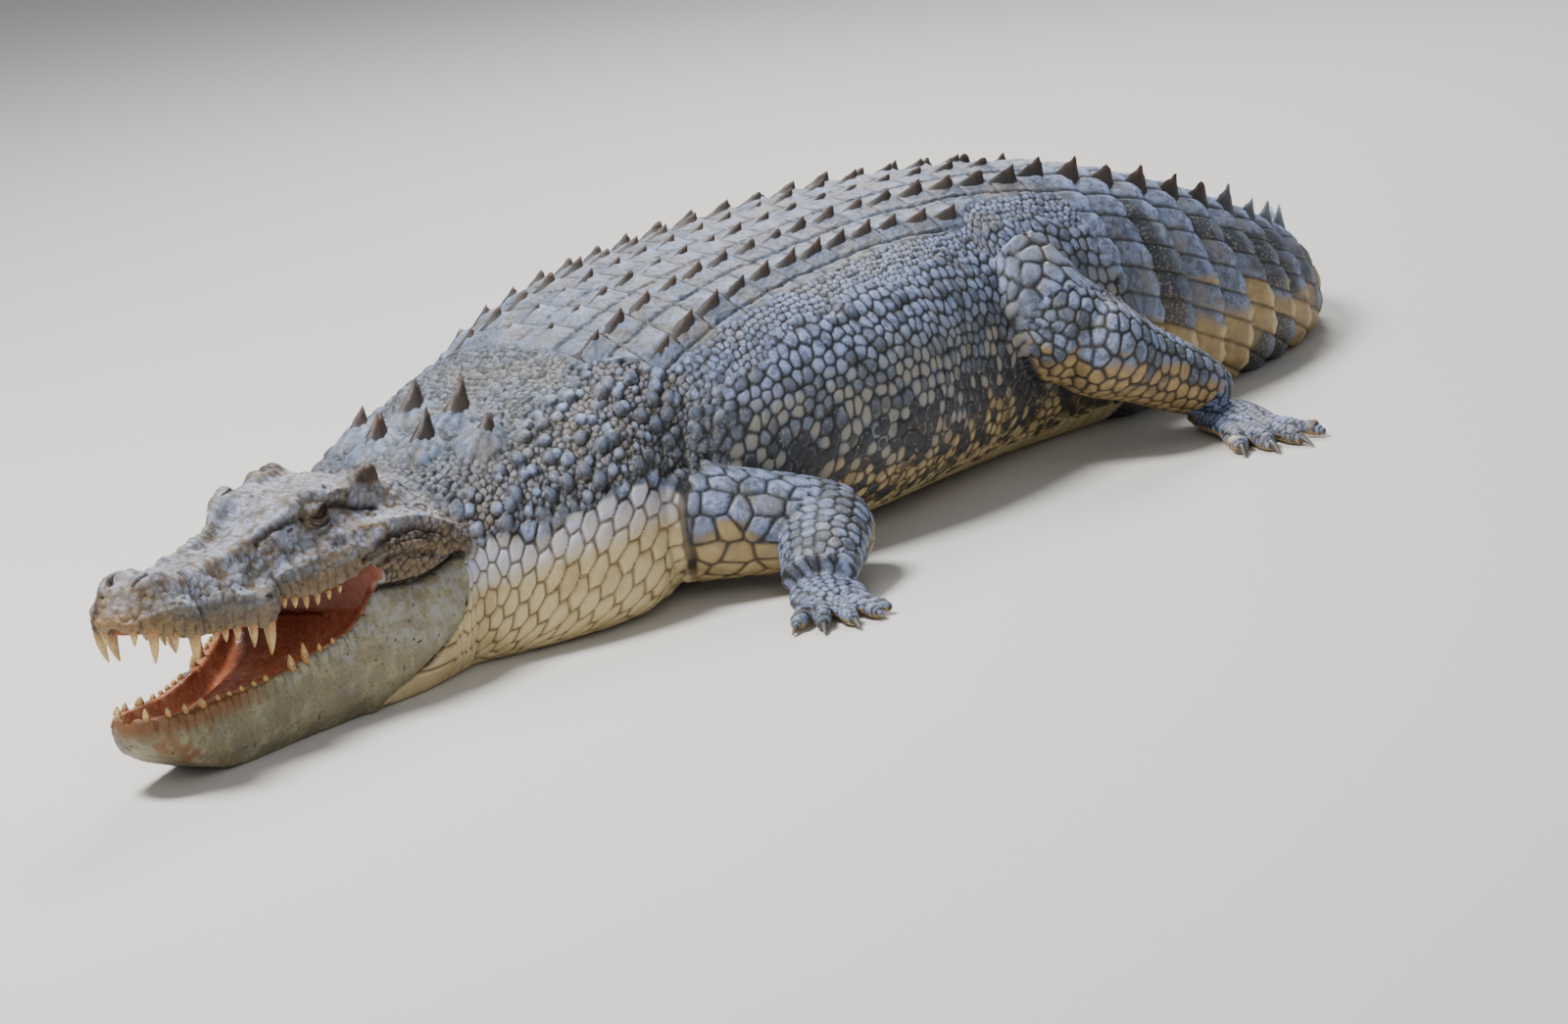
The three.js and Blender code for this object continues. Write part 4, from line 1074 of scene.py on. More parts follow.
def on_skin(points, quads, with_limbs):
    """Normal, place, relief and masks of every point of a bare skin, and its share of limb. The limbs' own
    scales are laid over the body's outside its section, and the head's ahead of the jaw's outline."""
    normal = normals_of(points, quads)
    s, left = along_body(points)
    z = points[:, 2]
    jitter = noise(points, 45, 1)
    made, reach = body_relief(points, np.maximum(s, NECK_START - 55), left, z, jitter)
    made["mouth"] = made["rust"] = np.zeros(len(s))
    if with_limbs:
        ratio, zone, local = limb_places(points)
        off = smooth(1.02, 1.14, reach) * smooth(1.6, 1.35, ratio)
        on = off > 0
        limb = limb_relief(points[on], normal[on], zone[on], local[on])
        for key, value in limb.items():
            made[key][on] += (value - made[key][on]) * off[on]
        # A crease parts the throat from the arm, where the arm's share passes a half: sunk a little and
        # darkened with painted shade.
        fold = smooth(0.42, 0.1, np.abs(off - 0.5)) * smooth(*ARM_FOLD_ENDS, s)
        made["groove"] *= 1 - fold
        made["height"] -= 2 * fold
        return normal, s, made, off
    head = head_relief(points, normal, s, left, z)
    edge = np.stack([s + 10 * jitter, z], 1)
    ahead = np.where(within(edge, JAW_OUTLINE), 1, smooth(700, 640, s + 14 * jitter) * smooth(168, 180, z))
    mix(made, head, ahead)
    made["head"] = ahead
    return normal, s, made, None


def packed_faces(points, normal, quads):
    """Bake map of a skin: each face is seen along the axis that its bare skin faces most, and the six views
    fill six tiles, three by two, each with a margin."""
    toward = normal[quads].sum(1)
    view = np.abs(toward).argmax(1)
    tile = view * 2 + (toward[np.arange(len(view)), view] > 0)
    low, high = points.min(0), points.max(0)
    flat = (points - low) / (high - low).max()
    axes = np.array([[1, 2], [0, 2], [0, 1]])[view]
    corner = flat[quads]
    u = np.take_along_axis(corner, axes[:, None, :1], 2)[..., 0]
    v = np.take_along_axis(corner, axes[:, None, 1:], 2)[..., 0]
    u, v = (1 - 2 * TILE_MARGIN) * u + TILE_MARGIN, (1 - 2 * TILE_MARGIN) * v + TILE_MARGIN
    return np.stack([(u + tile[:, None] % 3) / 3, (v + tile[:, None] // 3) / 2], -1)


def store(obj, **values):
    """Stores numbers on the points of an object, one set for each name, for its material to read."""
    for name, value in values.items():
        layer = obj.data.attributes.new(name, "FLOAT", "POINT")
        layer.data.foreach_set("value", np.asarray(value, np.float32))


def lay_map(obj, uv):
    """Gives an object its bake map: a place for each corner of each face."""
    layer = obj.data.uv_layers.new(name="OFBake")
    layer.uv.foreach_set("vector", uv.astype(np.float32).ravel())


def own(obj, material, nodes=()):
    """The piece rides on the model, has its finish and slot, and stands for the nodes."""
    obj.data.materials.append(material)
    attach(obj, "root")
    if nodes:
        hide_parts(*nodes)


def faces_used(quads, wanted):
    """The numbers of the points that the wanted faces use, and those faces by their new numbers."""
    used, renumbered = np.unique(quads[wanted], return_inverse=True)
    return used, renumbered.reshape(-1, 4)


def put_skin(name, points, bare, quads, normal, bare_normal, masks, wanted, nodes, slot_name, material):
    """One piece of the skin: the wanted faces, with masks, bake map and the whole skin's own normals."""
    used, faces = faces_used(quads, wanted)
    obj = made_mesh(name, points[used], faces)
    store(obj, **{key: np.clip(masks[key][used], 0, 1) for key in MASKS if key in masks})
    lay_map(obj, packed_faces(bare[used], bare_normal[used], faces))
    obj.data.normals_split_custom_set_from_vertices(normal[used])
    own(obj, material, nodes)


# ---- finishes ----------------------------------------------------------------------------------


def linear(code):
    """A colour given as sRGB hex, as linear red, green, blue and opacity."""
    parts = np.array([int(code[k:k + 2], 16) for k in (0, 2, 4)]) / 255
    return (*np.where(parts <= 0.04045, parts / 12.92, ((parts + 0.055) / 1.055) ** 2.4).tolist(), 1.0)


def add(tree, kind, inputs=(), **settings):
    """A node of one kind with its settings; each input is given a value or linked from another output."""
    node = tree.nodes.new("ShaderNode" + kind)
    for key, value in settings.items():
        setattr(node, key, value)
    for key, value in dict(inputs).items():
        if isinstance(value, bpy.types.NodeSocket):
            tree.links.new(value, node.inputs[key])
        else:
            node.inputs[key].default_value = value
    return node


def finish(name, base, layers, rough, bumps=(), over=None, **shader):
    """A material: a base colour with further colours laid over it. Each layer is a colour and its masks,
    which multiply: a stored value of the skin, or noise of a size in millimetres, spread between two limits
    and scaled. The two roughnesses are mixed by fine noise. A bump is a noise size, or a stored value, and a
    depth. A second coat over the first is its base, its layers and its mask."""
    material = bpy.data.materials.new(name)
    material.use_nodes = True
    tree = material.node_tree
    tree.nodes.clear()
    place = add(tree, "TexCoord").outputs["Object"]

    def speckle(size, **more):
        return add(tree, "TexNoise", {"Vector": place, "Scale": 1 / (size * MM), **more}).outputs["Fac"]

    def mask(source, low, high, strength=1.0):
        if isinstance(source, str):
            value = add(tree, "Attribute", attribute_name=source).outputs["Fac"]
        else:
            value = speckle(source, Detail=4.0, Roughness=0.6)
        return add(tree, "MapRange", {0: value, 1: low, 2: high, 4: strength}).outputs[0]

    def mixed(share, one, other):
        return add(tree, "Mix", {0: share, 6: one, 7: other}, data_type="RGBA").outputs[2]

    def coat(base, layers):
        colour = linear(base)
        for code, *masks in layers:
            share = mask(*masks[0])
            for more in masks[1:]:
                share = add(tree, "Math", {0: share, 1: mask(*more)}, operation="MULTIPLY").outputs[0]
            colour = mixed(share, colour, linear(code))
        return colour

    colour = coat(base, layers)
    if over:
        colour = mixed(mask(*over[2]), colour, coat(*over[:2]))
    sheen = add(tree, "MapRange", {0: mask(6.0, 0.3, 0.7), 3: rough[0], 4: rough[1]}).outputs[0]
    surface = add(tree, "BsdfPrincipled", {"Base Color": colour, "Roughness": sheen, **shader})
    normal = None
    for size, depth in bumps:
        wave = mask(size, 0.1, 0.6) if isinstance(size, str) else speckle(size, Detail=3.0)
        height = {"Height": wave, "Distance": depth * MM, "Strength": 1.0}
        if normal:
            height["Normal"] = normal
        normal = add(tree, "Bump", height).outputs["Normal"]
    if normal:
        tree.links.new(normal, surface.inputs["Normal"])
    out = add(tree, "OutputMaterial")
    tree.links.new(surface.outputs[0], out.inputs["Surface"])
    return material


# The grey upper side also carries the painted sky sheen; on the head and limbs it is the side that faces up.
ABOVE, JAW = ("grey_and_sky_sheen", 0.1, 0.9), ("under", 0.4, 0.9)         # the grey upper side, and the smooth jaw
# Weathered scale hide: grey-lavender plates with painted highlights on their tops and painted bluish sky
# sheen on the upper side, black ones among them, tan below, and painted shade in the grooves, browner between
# the pale scales.
HIDE_LAYERS = [
    ("465063", ("tone", 0.35, 0.9, 0.85)), ("7f7561", (140.0, 0.45, 0.65, 0.4)),
    # Painted highlights on the tops of scales: warm off the grey side, blue-lavender painted sky sheen and
    # pale flecks on it.
    ("8f8a7e", ("crown_highlight", 0.3, 0.9, 0.85), ("grey_and_sky_sheen", 0.9, 0.1)),
    ("8393bb", ("crown_highlight", 0.15, 0.85, 0.92), ("grey_and_sky_sheen", 0.1, 0.8)),
    ("a9b4ce", (9.0, 0.52, 0.7, 0.6), ("grey_and_sky_sheen", 0.2, 0.9), ("crown_highlight", 0.2, 0.8)),
    ("363c48", (14.0, 0.5, 0.58, 0.6), ABOVE),
    ("554b43", (6.5, 0.54, 0.65, 0.65), ABOVE),
    ("6d665c", (70.0, 0.5, 0.62, 0.5), ABOVE),
    ("8d744a", ("tan", 0.15, 0.85, 0.92)), ("a88f60", ("tan", 0.45, 1.0), (22.0, 0.42, 0.6, 0.75)),
    # Painted highlights on the tops of the tan scales.
    ("c9b98f", ("tan", 0.45, 1.0), ("crown_highlight", 0.75, 1.0, 0.6)),
    # Black scales, with painted highlights on their tops.
    ("1f242d", ("dark", 0.2, 0.75, 0.9)), ("687389", ("dark", 0.4, 1.0), ("crown_highlight", 0.3, 0.9, 0.8)),
    ("968f80", ("dark", 0.4, 1.0), (5.0, 0.52, 0.64, 0.7)),
    ("c6b486", ("under", 0.2, 0.8, 0.95)), ("a58c5c", ("under", 0.3, 0.9), (45.0, 0.48, 0.66, 0.6)),
    # Pale lavender where the pale scales meet the grey hide: partly their own greyer colour, partly painted
    # sky sheen.
    ("b4bfdd", ("under", 0.3, 0.9), ("grey_and_sky_sheen", 0.2, 1.0, 0.8)),
    ("17191e", ("eyed", 0.25, 0.75, 0.92)),
    # Painted shade in the grooves between scales: near black, and brown between the pale scales.
    ("1b1917", ("groove", 0.5, 0.12, 0.94), ("under", 0.9, 0.3)),
    ("5b4227", ("groove", 0.38, 0.06, 0.9), ("under", 0.3, 0.8)),
]
hide = finish("weathered_scale_hide_painted_light", "5c6778", HIDE_LAYERS, (0.42, 0.66),
              [(5.0, 1.0), (2.0, 0.6), (0.9, 0.2), ("groove", 0.8)])
# Bony head hide: paler and browner, with painted shade in the creases, darkened pits, painted highlights and
# painted sky sheen on the side that faces up, and a smooth cream jaw.
HEAD_LAYERS = [
    ("4f4a45", ("tone", 0.4, 0.75)), ("77613f", (55.0, 0.48, 0.64, 0.7)),
    # Painted highlights on the head's scale tops, and pale lavender patches of painted sky sheen on the side
    # that faces up.
    ("8b95b0", ("crown_highlight", 0.1, 0.9, 0.6), ABOVE), ("9ba5bf", (9.0, 0.5, 0.7, 0.4), ABOVE),
    ("98a1b6", (34.0, 0.46, 0.62, 0.6), ABOVE), ("3d352e", (5.0, 0.56, 0.7, 0.6)),
    ("826439", ("tan", 0.15, 0.9, 0.85)), ("7e7559", ("under", 0.2, 0.75, 0.95)),
    ("979073", JAW, (22.0, 0.5, 0.62, 0.8)), ("695f49", JAW, (60.0, 0.48, 0.6, 0.75)),
    ("5c4c31", JAW, (4.5, 0.55, 0.66, 0.75)), ("66676e", JAW, (11.0, 0.54, 0.66, 0.6)),
    ("8e9093", JAW, ("grey_and_sky_sheen", 0.2, 0.8, 0.65), (16.0, 0.4, 0.62)),
    ("6b4219", ("rust", 0.2, 0.9, 0.92)), ("2b211a", ("dark", 0.2, 0.75, 0.88)),
    # Painted shade in the head's grooves, creases and furrows.
    ("2a201a", ("groove", 0.95, 0.25, 0.95)), ("8a4a34", ("mouth", 0.25, 0.9)),
]
head_hide = finish("bony_head_hide", "5c6778", HIDE_LAYERS, (0.4, 0.62),
                   [(7.0, 1.6), (3.0, 0.9), (1.0, 0.25)], ("645c50", HEAD_LAYERS, ("head", 0.0, 1.0)))
# Wet mouth lining: flesh pink, redder towards the throat, with pale patches of painted highlight and fine
# wrinkles that catch the light.
lining = finish("wet_mouth_lining", "aa6f50", [
    # Pale pink patches are painted highlights.
    ("9a5239", (38.0, 0.44, 0.62, 0.8)), ("d09f80", (11.0, 0.5, 0.66, 0.65)),
    ("702f21", ("deep", 0.3, 1.0, 0.8)), ("8c7347", ("mouth", 0.75, 0.3, 0.9)),
], (0.2, 0.38), [(7.0, 1.2), (2.0, 0.35)])
# Horn of the keels: almost black, worn rusty on the tips, blue-grey along the tail, dull.
horn = finish("keel_horn", "262322", [
    ("36302b", ("tone", 0.3, 0.8)), ("643d22", ("tip", 0.3, 1.0, 0.6), (14.0, 0.4, 0.6)),
    ("4d586a", ("whorl", 0.3, 1.0, 0.85)), ("98a1ac", ("whorl", 0.3, 1.0), ("tip", 0.35, 0.9, 0.6)),
    ("1d1d1d", (7.0, 0.56, 0.66, 0.7)),
], (0.48, 0.68), [(3.0, 0.6)])
# Tooth enamel: amber-ivory, brown at the root, glossy.
enamel = finish("tooth_enamel", "c0a165", [
    ("94672f", ("root", 0.2, 1.0, 0.9)), ("7d5526", (5.0, 0.52, 0.66, 0.7)),
], (0.22, 0.36), [(1.5, 0.15)], IOR=1.6)
# Claw horn: dark grey and slightly glossy.
claw_horn = finish("claw_horn", "3a3936", [("6a655a", ("tip", 0.4, 1.0, 0.6))], (0.35, 0.5), [(1.2, 0.15)])
# Eye: dark wet ball with a brown iris ring, under a clear film.
eye_wet = finish("wet_eye", "0c0907", [("2b1b0f", ("iris", 0.2, 0.8, 0.9)), ("030303", ("pupil", 0.3, 0.7))],
                 (0.08, 0.12), **{"IOR": 1.34, "Specular IOR Level": 0.3})
# Lid rims: dark reddish-brown skin, a little moist.
lid_hide = finish("eyelid_rim", "3c221a", [("6f5d4a", (6.0, 0.55, 0.66, 0.6))], (0.4, 0.55), [(1.5, 0.3)])

# ---- small pieces ------------------------------------------------------------------------------

PATCH = 0.003                     # side of the square that a small part fills in the bake map


def patch_map(obj, places, own_place):
    """Bake map of small parts: each part's points lie in a small square round its root's place."""
    spread = own_place - own_place.min(0)
    spread /= np.maximum(spread.max(0), 1e-6)
    corner = np.empty(len(obj.data.loops), np.int32)
    obj.data.loops.foreach_get("vertex_index", corner)
    lay_map(obj, (places + PATCH * (spread - 0.5))[corner])


def back_surface(s, left):
    """Height of the back at a distance from its middle: the upper half of the section."""
    width, level, above, _, n_back, _ = section_of(s)
    return level + above * (1 - np.clip(np.abs(left) / width, 0, 1) ** n_back) ** (1 / n_back)


def keel_plan():
    """Place, left, length, width and height of every keel, on the neck, the back and the tail. The columns
    of the back draw together over the hips; the tail has two rows, then one."""
    plan = [(s, side * out, *size) for s, out, *size in NECK_KEELS for side in (1, -1)]
    for row in range(BACK_ROWS):
        s = FIRST_ROW + row * ROW_SPACING
        hips = min(max((row - 12) / 4, 0), 1)
        for step, size in ((0.5, (58, 26, 20)), (1.5, (60, 30, 24 + 4 * hips)), (2.5, (58, 28, 24))):
            if step < 2 or 0 < row < 13:
                out = step * COLUMN_SPACING * (1 - 0.12 * hips)
                plan += [(s, side * out, *size) for side in (1, -1)]
    for ring in range(RINGS):
        s = TAIL_START + ring * RING_SPACING
        if ring < SINGLE_CREST_FROM:
            plan += [(s, side * (92 - 4.6 * ring), 60, 24, 34 + 1.2 * ring) for side in (1, -1)]
        else:
            plan.append((s, 0, 56, 18, 58 - 52 * (ring / RINGS - 0.5)))
    return np.array(plan, float)


KEEL_TIP = 0.62                   # place of the tip along a keel
KEEL_SINK = 2                     # depth of its root under the back's form


def keels_piece(name, plan):
    """Keels as closed blades: rising in a long curve to a tip that leans back, then falling steeply; sharp
    along the ridge, wide at the root, with growth furrows and worn, uneven edges."""
    t = np.linspace(0, 1, 13)[:, None]
    v = np.linspace(-1, 1, 9)
    s, left, length, width, height = (plan[:, k, None, None] for k in range(5))
    number = np.arange(len(plan))[:, None, None]
    height = height * (0.84 + 0.3 * hashed(number, 3))
    apex = KEEL_TIP + 0.12 * hashed(number, 5)
    profile = np.minimum(np.clip(t / apex, 0, 1) ** 1.1, np.clip((1 - t) / (1 - apex), 0, 1) ** 0.8)
    profile = profile * (1 + 0.08 * np.sin(t * 23 + number * 2.1))
    breadth = 0.35 + 0.65 * np.sin(np.pi * np.clip(t * 0.9 + 0.08, 0, 1)) ** 0.7
    ridge = (1 - np.abs(v)) ** 1.15
    lift = height * profile * ridge + 1.2 * np.sin(np.abs(v) * 14) * (ridge > 0)
    lean = 0.30 * length * np.clip(lift / np.maximum(height, 1), 0, 1.2)
    place = s + (t - KEEL_TIP) * length * 1.12 + lean
    side = left + v * width * 0.62 * breadth * (1 - 0.35 * np.clip(lift / height, 0, 1))
    z = back_surface(s + (t - KEEL_TIP) * length, side) + np.where(ridge > 0, lift, 0) - KEEL_SINK
    side = side + np.sign(left) * np.clip(np.abs(left) / half_width(s), 0, 1) ** 2 * lift * 0.35
    top = np.stack(np.broadcast_arrays(place, side, z), -1)
    under = top[:, :, [-1, len(v) // 2, 0]]
    under[..., 2] = top[:, :, [-1, 0, 0], 2] - 10
    ring = np.concatenate([top, under], 2)
    obj = made_mesh(name, *joined([tube(blade) for blade in body_point(*np.moveaxis(ring, -1, 0))]))
    tip = np.clip(lift, 0, None) / lift.max((1, 2), keepdims=True)
    tip = np.pad(tip, ((0, 0), (0, 0), (0, 3))).reshape(len(plan), -1)
    per = tip.shape[1] + 2
    store(obj, tip=np.pad(tip, ((0, 0), (0, 2))).ravel(), tone=np.repeat(hashed(number, 0).ravel(), per),
          whorl=np.repeat(smooth(TAIL_START + 250, TAIL_START + 700, plan[:, 0]), per))
    roots = np.stack([0.02 + 0.96 * plan[:, 0] / LENGTH, 0.5 + plan[:, 1] / 900], 1)
    local = ring[..., :2] - plan[:, None, None, :2]
    local = np.concatenate([local.reshape(len(plan), -1, 2), local[:, [0, -1], 0]], 1)
    patch_map(obj, np.repeat(roots, per, 0), local.reshape(-1, 2))
    own(obj, horn)


# Teeth of one side: place behind the snout tip, length, thickness.
UPPER_TEETH = [(10, 20, 10), (26, 42, 15), (52, 22, 10), (86, 38, 17), (150, 13, 9), (168, 16, 9),
               (188, 18, 10), (214, 30, 13), (243, 44, 17), (292, 12, 8), (312, 14, 9), (332, 16, 9),
               (352, 15, 9), (372, 12, 8), (392, 9, 7)]
LOWER_TEETH = [(12, 14, 10), (36, 10, 9), (66, 10, 9), (104, 32, 14), (140, 6, 8), (164, 5, 8), (188, 6, 8),
               (212, 6, 9), (236, 7, 9), (288, 18, 12), (316, 22, 12), (344, 9, 8), (368, 7, 7)]
WORN_TOOTH = (104, 10)            # the animal's left lower tooth at this place is worn down to this length
# Rings of a tooth: share of its length above the gum, and share of its thickness.
TOOTH_RINGS = np.array([[-0.35, 0.9], [-0.12, 1.12], [0, 1.1], [0.12, 1], [0.3, 0.92], [0.5, 0.78],
                        [0.7, 0.57], [0.86, 0.36], [0.96, 0.2], [1, 0.08]])
CONE_POINTS = 14                  # points round a tooth or a claw


def teeth_piece(name, teeth, half, edge, up):
    """Cones with a slight inward curve, a blunt tip and a collar of gum, sunk in the rim of the jaw: rings
    round a middle line that bends with the square of the length."""
    share, girth = TOOTH_RINGS.T
    angle = full_turn(CONE_POINTS)
    parts, roots = [], []
    for d, length, thickness in teeth:
        for side in (1, -1):
            if up > 0 and d == WORN_TOOTH[0] and side > 0:
                length = WORN_TOOTH[1]
            left = side * max(half(d) - LIP_THICKNESS * 0.55, half(d) * 0.75)
            bend = (share ** 2 * np.sign(share) * length * 0.14)[:, None]
            r = girth[:, None] * thickness / 2
            parts.append(tube(body_point(d + 4 + np.cos(angle) * r + bend * 0.8,
                                         left - side * bend + np.sin(angle) * r,
                                         edge(d) + up * share[:, None] * length)))
            roots.append([0.02 + d / 500, 0.5 + left / 400])
    obj = made_mesh(name, *joined(parts))
    store(obj, root=np.tile(np.append(np.repeat(smooth(0.45, 0.0, share), CONE_POINTS), [1, 0]), len(parts)))
    across, along = np.meshgrid(np.arange(float(CONE_POINTS)), np.arange(float(len(share))))
    local = np.vstack([np.stack([across, along], -1).reshape(-1, 2), [[0, 0], [across.max(), along.max()]]])
    patch_map(obj, np.repeat(np.array(roots), len(local), 0), np.tile(local, (len(parts), 1)))
    own(obj, enamel)


def claws_piece(name, limbs, nodes):
    """Claws: cones that curve down to the floor from the ends of the toes, flattened below."""
    share = np.linspace(0, 1, 9)[:, None]
    angle = full_turn(CONE_POINTS)[:, None]
    up = np.array([0, 0, 1])
    parts = []
    for limb in limbs:
        *_, digits = limb_lines(*limb)
        for start, line, length, thick, claw in digits:
            if not claw:
                continue
            base = start + line * (length - 10) + [0, 0, thick * 0.55 + 4]
            across = np.array([-line[1], line[0], 0])
            r = (thick * 0.40 * (1 - share) ** 0.62 + 0.5)[..., None]
            middle = base + line * (claw + 8) * share - up * (base[2] - 3.5) * share ** 1.8
            parts.append(tube(middle[:, None] + across * (np.cos(angle) * r)
                              + up * 0.9 * (np.sin(angle) * r)))
    obj = made_mesh(name, *joined(parts))
    store(obj, tip=np.tile(np.append(np.repeat(share, CONE_POINTS), [0, 1]), len(parts)))
    own(obj, claw_horn, nodes)


def eye_piece(side, name):
    """Eyeball with a brown iris ring and a slit pupil, turned outwards and a little forwards and up."""
    centre, back, _ = eye_at(side)
    points, faces = ball(centre, np.full(3, EYE_RADIUS - 0.5), 48, 32)
    obj = made_mesh("eyeball_" + name, points, faces)
    look = body_point(EYE_PLACE[0] - 8, side * (EYE_PLACE[1] + 30), EYE_PLACE[2] + 5) - centre
    look /= np.linalg.norm(look)
    points = points - centre
    points /= np.linalg.norm(points, axis=1, keepdims=True)
    away = np.degrees(np.arccos(np.clip(points @ look, -1, 1)))
    sideways = np.degrees(np.abs(points @ back))
    store(obj, iris=smooth(44, 36, away), pupil=smooth(9, 5, sideways) * (away < 34))
    own(obj, eye_wet, ("eye_" + name,))


TONGUE = (120, 452)               # places of its tip and its root


def tongue_piece():
    """Tongue: a low wide pad on the mouth floor from behind the chin to the throat."""
    d = np.linspace(*TONGUE, 60)[:, None]
    share = (d - TONGUE[0]) / (TONGUE[1] - TONGUE[0])
    wide = (jaw_half(d) - LIP_THICKNESS - 16) * 0.86
    wide = wide * np.sin(np.pi * np.clip(share * 0.86 + 0.1, 0, 1)) ** 0.35
    angle = full_turn(40)
    rise = 15 * np.sin(np.pi * np.clip(share * 0.9 + 0.06, 0, 1)) ** 0.5
    left = wide * np.cos(angle)
    above = np.sin(angle) > 0
    z = rim_height(d) - floor_drop(d) - 3 + np.where(above, rise * np.abs(np.sin(angle)) ** 0.7, -4)
    points, faces = tube(body_point(d, left, z - 2.5 * np.exp(-(left / 6) ** 2) * above))
    obj = made_mesh("tongue_pad", points, faces)
    store(obj, deep=np.append(np.repeat(smooth(0.65, 1.0, share), 40), [0, 1]), mouth=np.ones(len(points)))
    own(obj, lining, ("tongue",))


def lid_pieces(side, name):
    """Lids: two soft rims that follow the almond opening over the ball, the lower one thicker."""
    centre, back, out = eye_at(side)
    up = np.array([0, 0, 1.0])
    t = np.linspace(-1, 1, 41)
    angle = full_turn(12)[:, None]
    parts = []
    for sign, thick in ((1, 2.6), (-1, 3.2)):
        x = t * 20.5
        y = sign * 9.6 * (1 - np.abs(t) ** LID_POWER) + LID_SLOPE * x + LID_RISE
        depth = np.sqrt(np.maximum((EYE_RADIUS + 0.8) ** 2 - x ** 2 - y ** 2, 20))
        middle = centre + back * x[:, None] + up * y[:, None] + out * depth[:, None]
        r = thick * (0.55 + 0.45 * np.sqrt(np.clip(1 - t ** 2, 0, 1)))
        parts.append(tube(middle[:, None] + (out * np.cos(angle) + up * np.sin(angle)) * r[:, None, None]))
    own(made_mesh("eyelids_" + name, *joined(parts)), lid_hide)


# ---- camera, floor and light -------------------------------------------------------------------

# Viewing place from a low angle beside the head: metres in the animal's own frame, lens and roll.
CAMERA_AT = (-6.318, -5.456, 1.886)
CAMERA_TO = (-0.6488, -0.6303, 0.2)
CAMERA_ROLL = math.radians(-6.843)
LENS = 121.3
FLOOR_SIZE = 60000.0
# Lamps: name, place in metres, power and width.
LAMPS = [("key", (-2.4, 0.8, 5.0), 570, 1.8), ("fill", (-4.6, -4.2, 2.6), 95, 4.0),
         ("rim", (4.0, 2.4, 4.2), 300, 2.4)]
SURROUND = ("dfe4ea", 0.36)       # its colour and strength


def studio():
    """Camera, plain pale floor and three soft lamps, with a dim even surround."""
    data = bpy.data.cameras.new("camera")
    data.lens = LENS
    data.clip_end = 200
    camera = bpy.data.objects.new("camera", data)
    bpy.context.scene.collection.objects.link(camera)
    at, to = Vector(CAMERA_AT) + Vector(SHIFT), Vector(CAMERA_TO) + Vector(SHIFT)
    turn = (to - at).to_track_quat("-Z", "Y").to_matrix().to_4x4()
    camera.matrix_world = Matrix.Translation(at) @ turn @ Matrix.Rotation(CAMERA_ROLL, 4, "Z")
    bpy.context.scene.camera = camera
    floor = made_mesh("floor", np.array([[-1, -1, 0], [1, -1, 0], [1, 1, 0], [-1, 1, 0]]) * FLOOR_SIZE
                      - SHIFT / MM * [0, 0, 1], np.array([[0, 1, 2, 3]]))
    floor.data.materials.append(finish("pale_studio_floor", "cfccc6", (), (0.85, 0.9)))
    for name, place, power, wide in LAMPS:
        lamp = bpy.data.lights.new(name, "AREA")
        lamp.energy = power
        lamp.shape = "DISK"
        lamp.size = wide
        light = bpy.data.objects.new(name, lamp)
        bpy.context.scene.collection.objects.link(light)
        light.location = place
        light.rotation_euler = (-Vector(place)).to_track_quat("-Z", "Y").to_euler()
    world = bpy.data.worlds.new("surround")
    world.use_nodes = True
    inputs = world.node_tree.nodes["Background"].inputs
    inputs[0].default_value, inputs[1].default_value = linear(SURROUND[0]), SURROUND[1]
    bpy.context.scene.world = world


studio()

# ---- the whole animal --------------------------------------------------------------------------


EYE_BULGE = np.array([25.0, 25.0, 24.0])      # half sizes of the form that swells the hide round an eye
THROAT_DEPTH = (300, 470)         # the mouth lining grows redder between these places


def bare_skin(parts, voxel, rounds):
    """Union of forms, relaxed so that the joins between them flow."""
    points, quads = remeshed(parts, voxel)
    points = relaxed(points, quads, rounds)
    points[:, 2] = np.maximum(points[:, 2], FLOOR_GAP)
    return points, quads


def with_relief(points, quads, with_limbs):
    """Skin moved along its normals by the relief, never under the floor, and all that its pieces need. Inside
    the eyes' openings the head's skin is drawn in to 5 mm under the eyeballs' surface."""
    normal, s, masks, limb = on_skin(points, quads, with_limbs)
    raised = points + normal * (RELIEF * masks["height"])[:, None]
    for side in () if with_limbs else (1, -1):
        open_here, way, away = eye_opening(points, side)
        raised -= way * (np.maximum(away - EYE_RADIUS + 5, 0) * open_here)[:, None]
    raised[:, 2] = np.maximum(raised[:, 2], FLOOR_GAP)
    return (raised, points, quads, normals_of(raised, quads), normal, masks), s[quads].mean(1), limb


def cut_places():
    """Name of each length of the body and the places of its two ends, which lie between two rows of back
    plates or between two rings of the tail."""
    rows = [FIRST_ROW + (row - 0.5) * ROW_SPACING for row in (0, 5, 12)]
    rings = [TAIL_START + (ring - 0.5) * RING_SPACING for ring in (1, 6, 11, 16, 21)]
    ends = [NECK_SEAM, *rows, *rings, LENGTH + 1]
    return zip(("neck", "chest", "belly", "hips", *(f"tail_{k}" for k in range(1, 6))), ends, ends[1:])


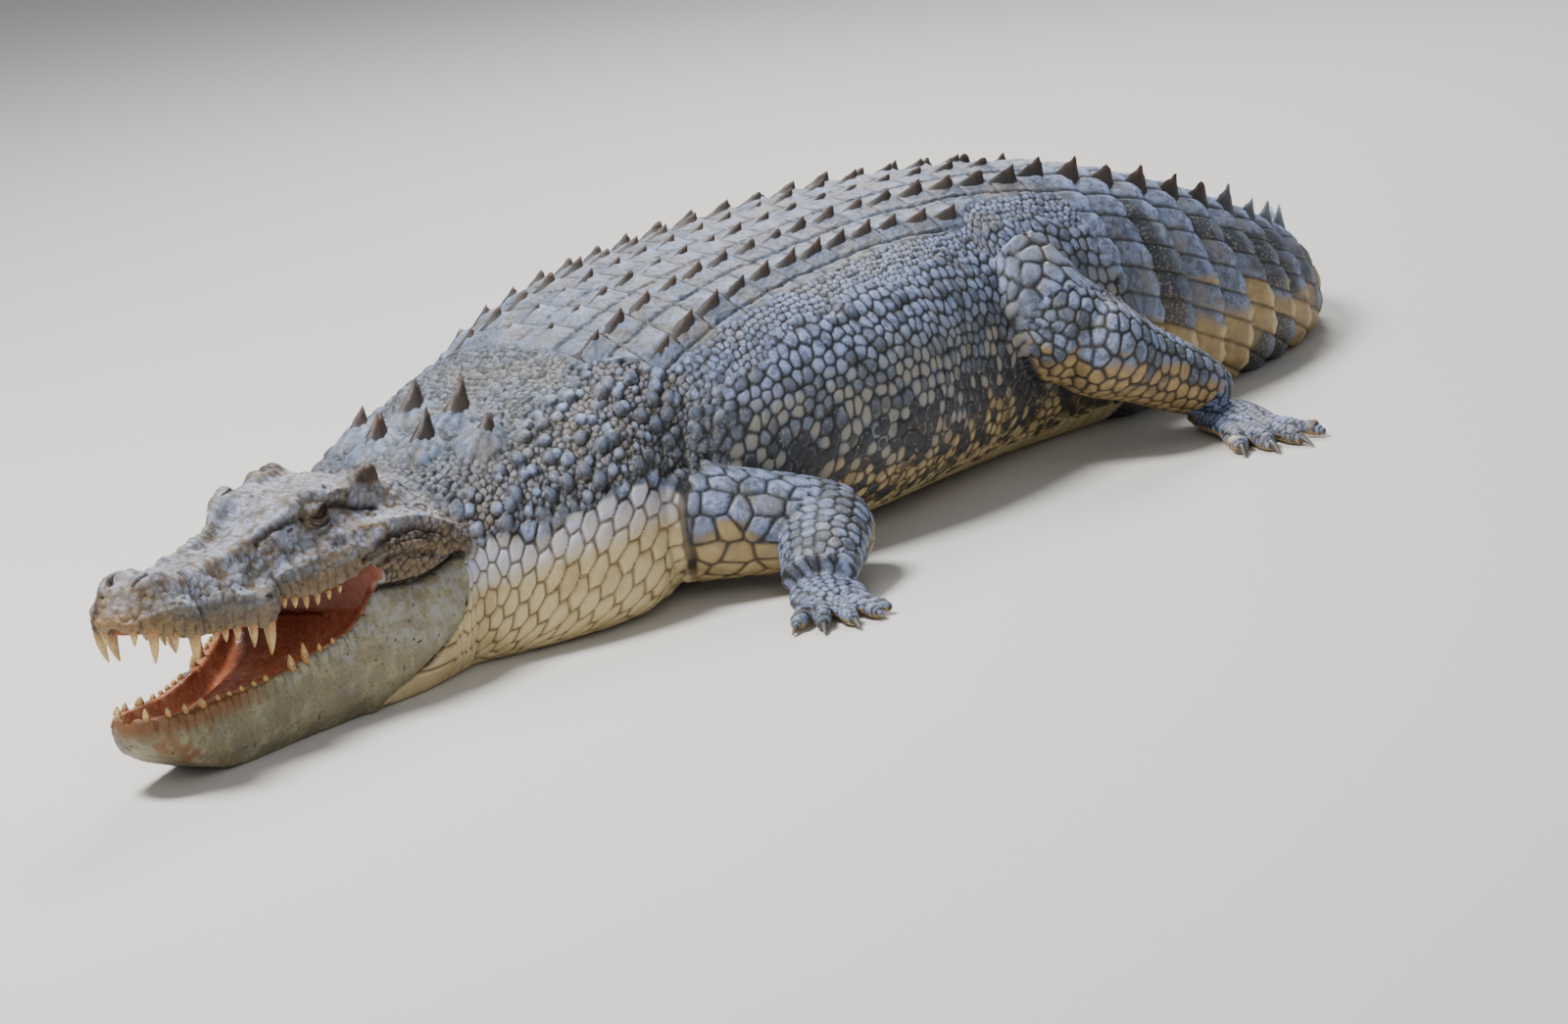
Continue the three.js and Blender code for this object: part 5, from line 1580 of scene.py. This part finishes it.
def body_pieces():
    """Neck, trunk, tail and limbs as one skin, parted into pieces along its faces."""
    limbs = [part for limb in LIMBS for part in limb_form(*limb)]
    points, quads = bare_skin([body_form(), upper_head_form(), lower_jaw_form()] + limbs, BODY_VOXEL, 3)
    shared, face_s, limb = with_relief(points, quads, True)
    on_limb = limb[quads].mean(1) > 0.5
    for name, low, high in cut_places():
        wanted = (face_s >= low) & (face_s < high) & ~on_limb
        put_skin("skin_" + name, *shared, wanted, (name,), "skin_back", hide)
    for name, ahead, lengths in (("arms", True, ("upper_arm", "forearm", "hand")),
                                 ("legs", False, ("thigh", "shank", "foot"))):
        nodes = [f"{length}_{side}" for length in lengths for side in ("left", "right")]
        wanted = on_limb & ((face_s < TRUNK_ORIGIN) == ahead)
        put_skin("skin_" + name, *shared, wanted, nodes, "skin_limb", hide)


def head_pieces():
    """Head skin with finer faces: skull and jaw outside, and the mouth lining as its own piece. The neck goes
    on behind the seam while the skin is made, so that both skins have the same shape there."""
    eyes = [ball(eye_at(side)[0], EYE_BULGE) for side in (1, -1)]
    forms = [body_form(NECK_SEAM + NECK_LAP), upper_head_form(), lower_jaw_form()] + eyes
    points, quads = bare_skin(forms, HEAD_VOXEL, 4)
    s, _ = along_body(points)
    used, quads = faces_used(quads, s[quads].min(1) < NECK_SEAM + 4 * SEAM_LAP)
    shared, face_s, _ = with_relief(points[used], quads, False)
    raised, masks = shared[0], shared[-1]
    masks["deep"] = smooth(*THROAT_DEPTH, s[used])
    inside = masks["mouth"][quads].mean(1) > 0.5
    high = raised[quads][..., 2].mean(1) > (lip_height(face_s) + rim_height(face_s)) / 2
    behind = face_s >= MOUTH_CORNER
    outside = ~inside & (face_s < NECK_SEAM + SEAM_LAP)
    put_skin("mouth_lining", *shared, inside, (), "mouth", lining)
    put_skin("skin_head_front", *shared, outside & ~behind & high, ("head_upper",), "skin_head", head_hide)
    put_skin("skin_jaw", *shared, outside & ~behind & ~high, ("lower_jaw",), "skin_head", head_hide)
    put_skin("skin_head_back", *shared, outside & behind, (), "skin_head", head_hide)


body_pieces()
head_pieces()
plan = keel_plan()
keels_piece("keels_back", plan[plan[:, 0] < TAIL_START])
keels_piece("keels_tail", plan[plan[:, 0] >= TAIL_START])
teeth_piece("teeth_upper", UPPER_TEETH, cheek_half, lip_height, -1)
teeth_piece("teeth_lower", LOWER_TEETH, jaw_half, rim_height, 1)
for name, node, limbs in (("claws_hands", "hand", LIMBS[:2]), ("claws_feet", "foot", LIMBS[2:])):
    claws_piece(name, limbs, [f"{node}_{side}_claw_{k}" for side in ("left", "right") for k in (1, 2, 3)])
tongue_piece()
for side, name in ((1, "left"), (-1, "right")):
    eye_piece(side, name)
    lid_pieces(side, name)
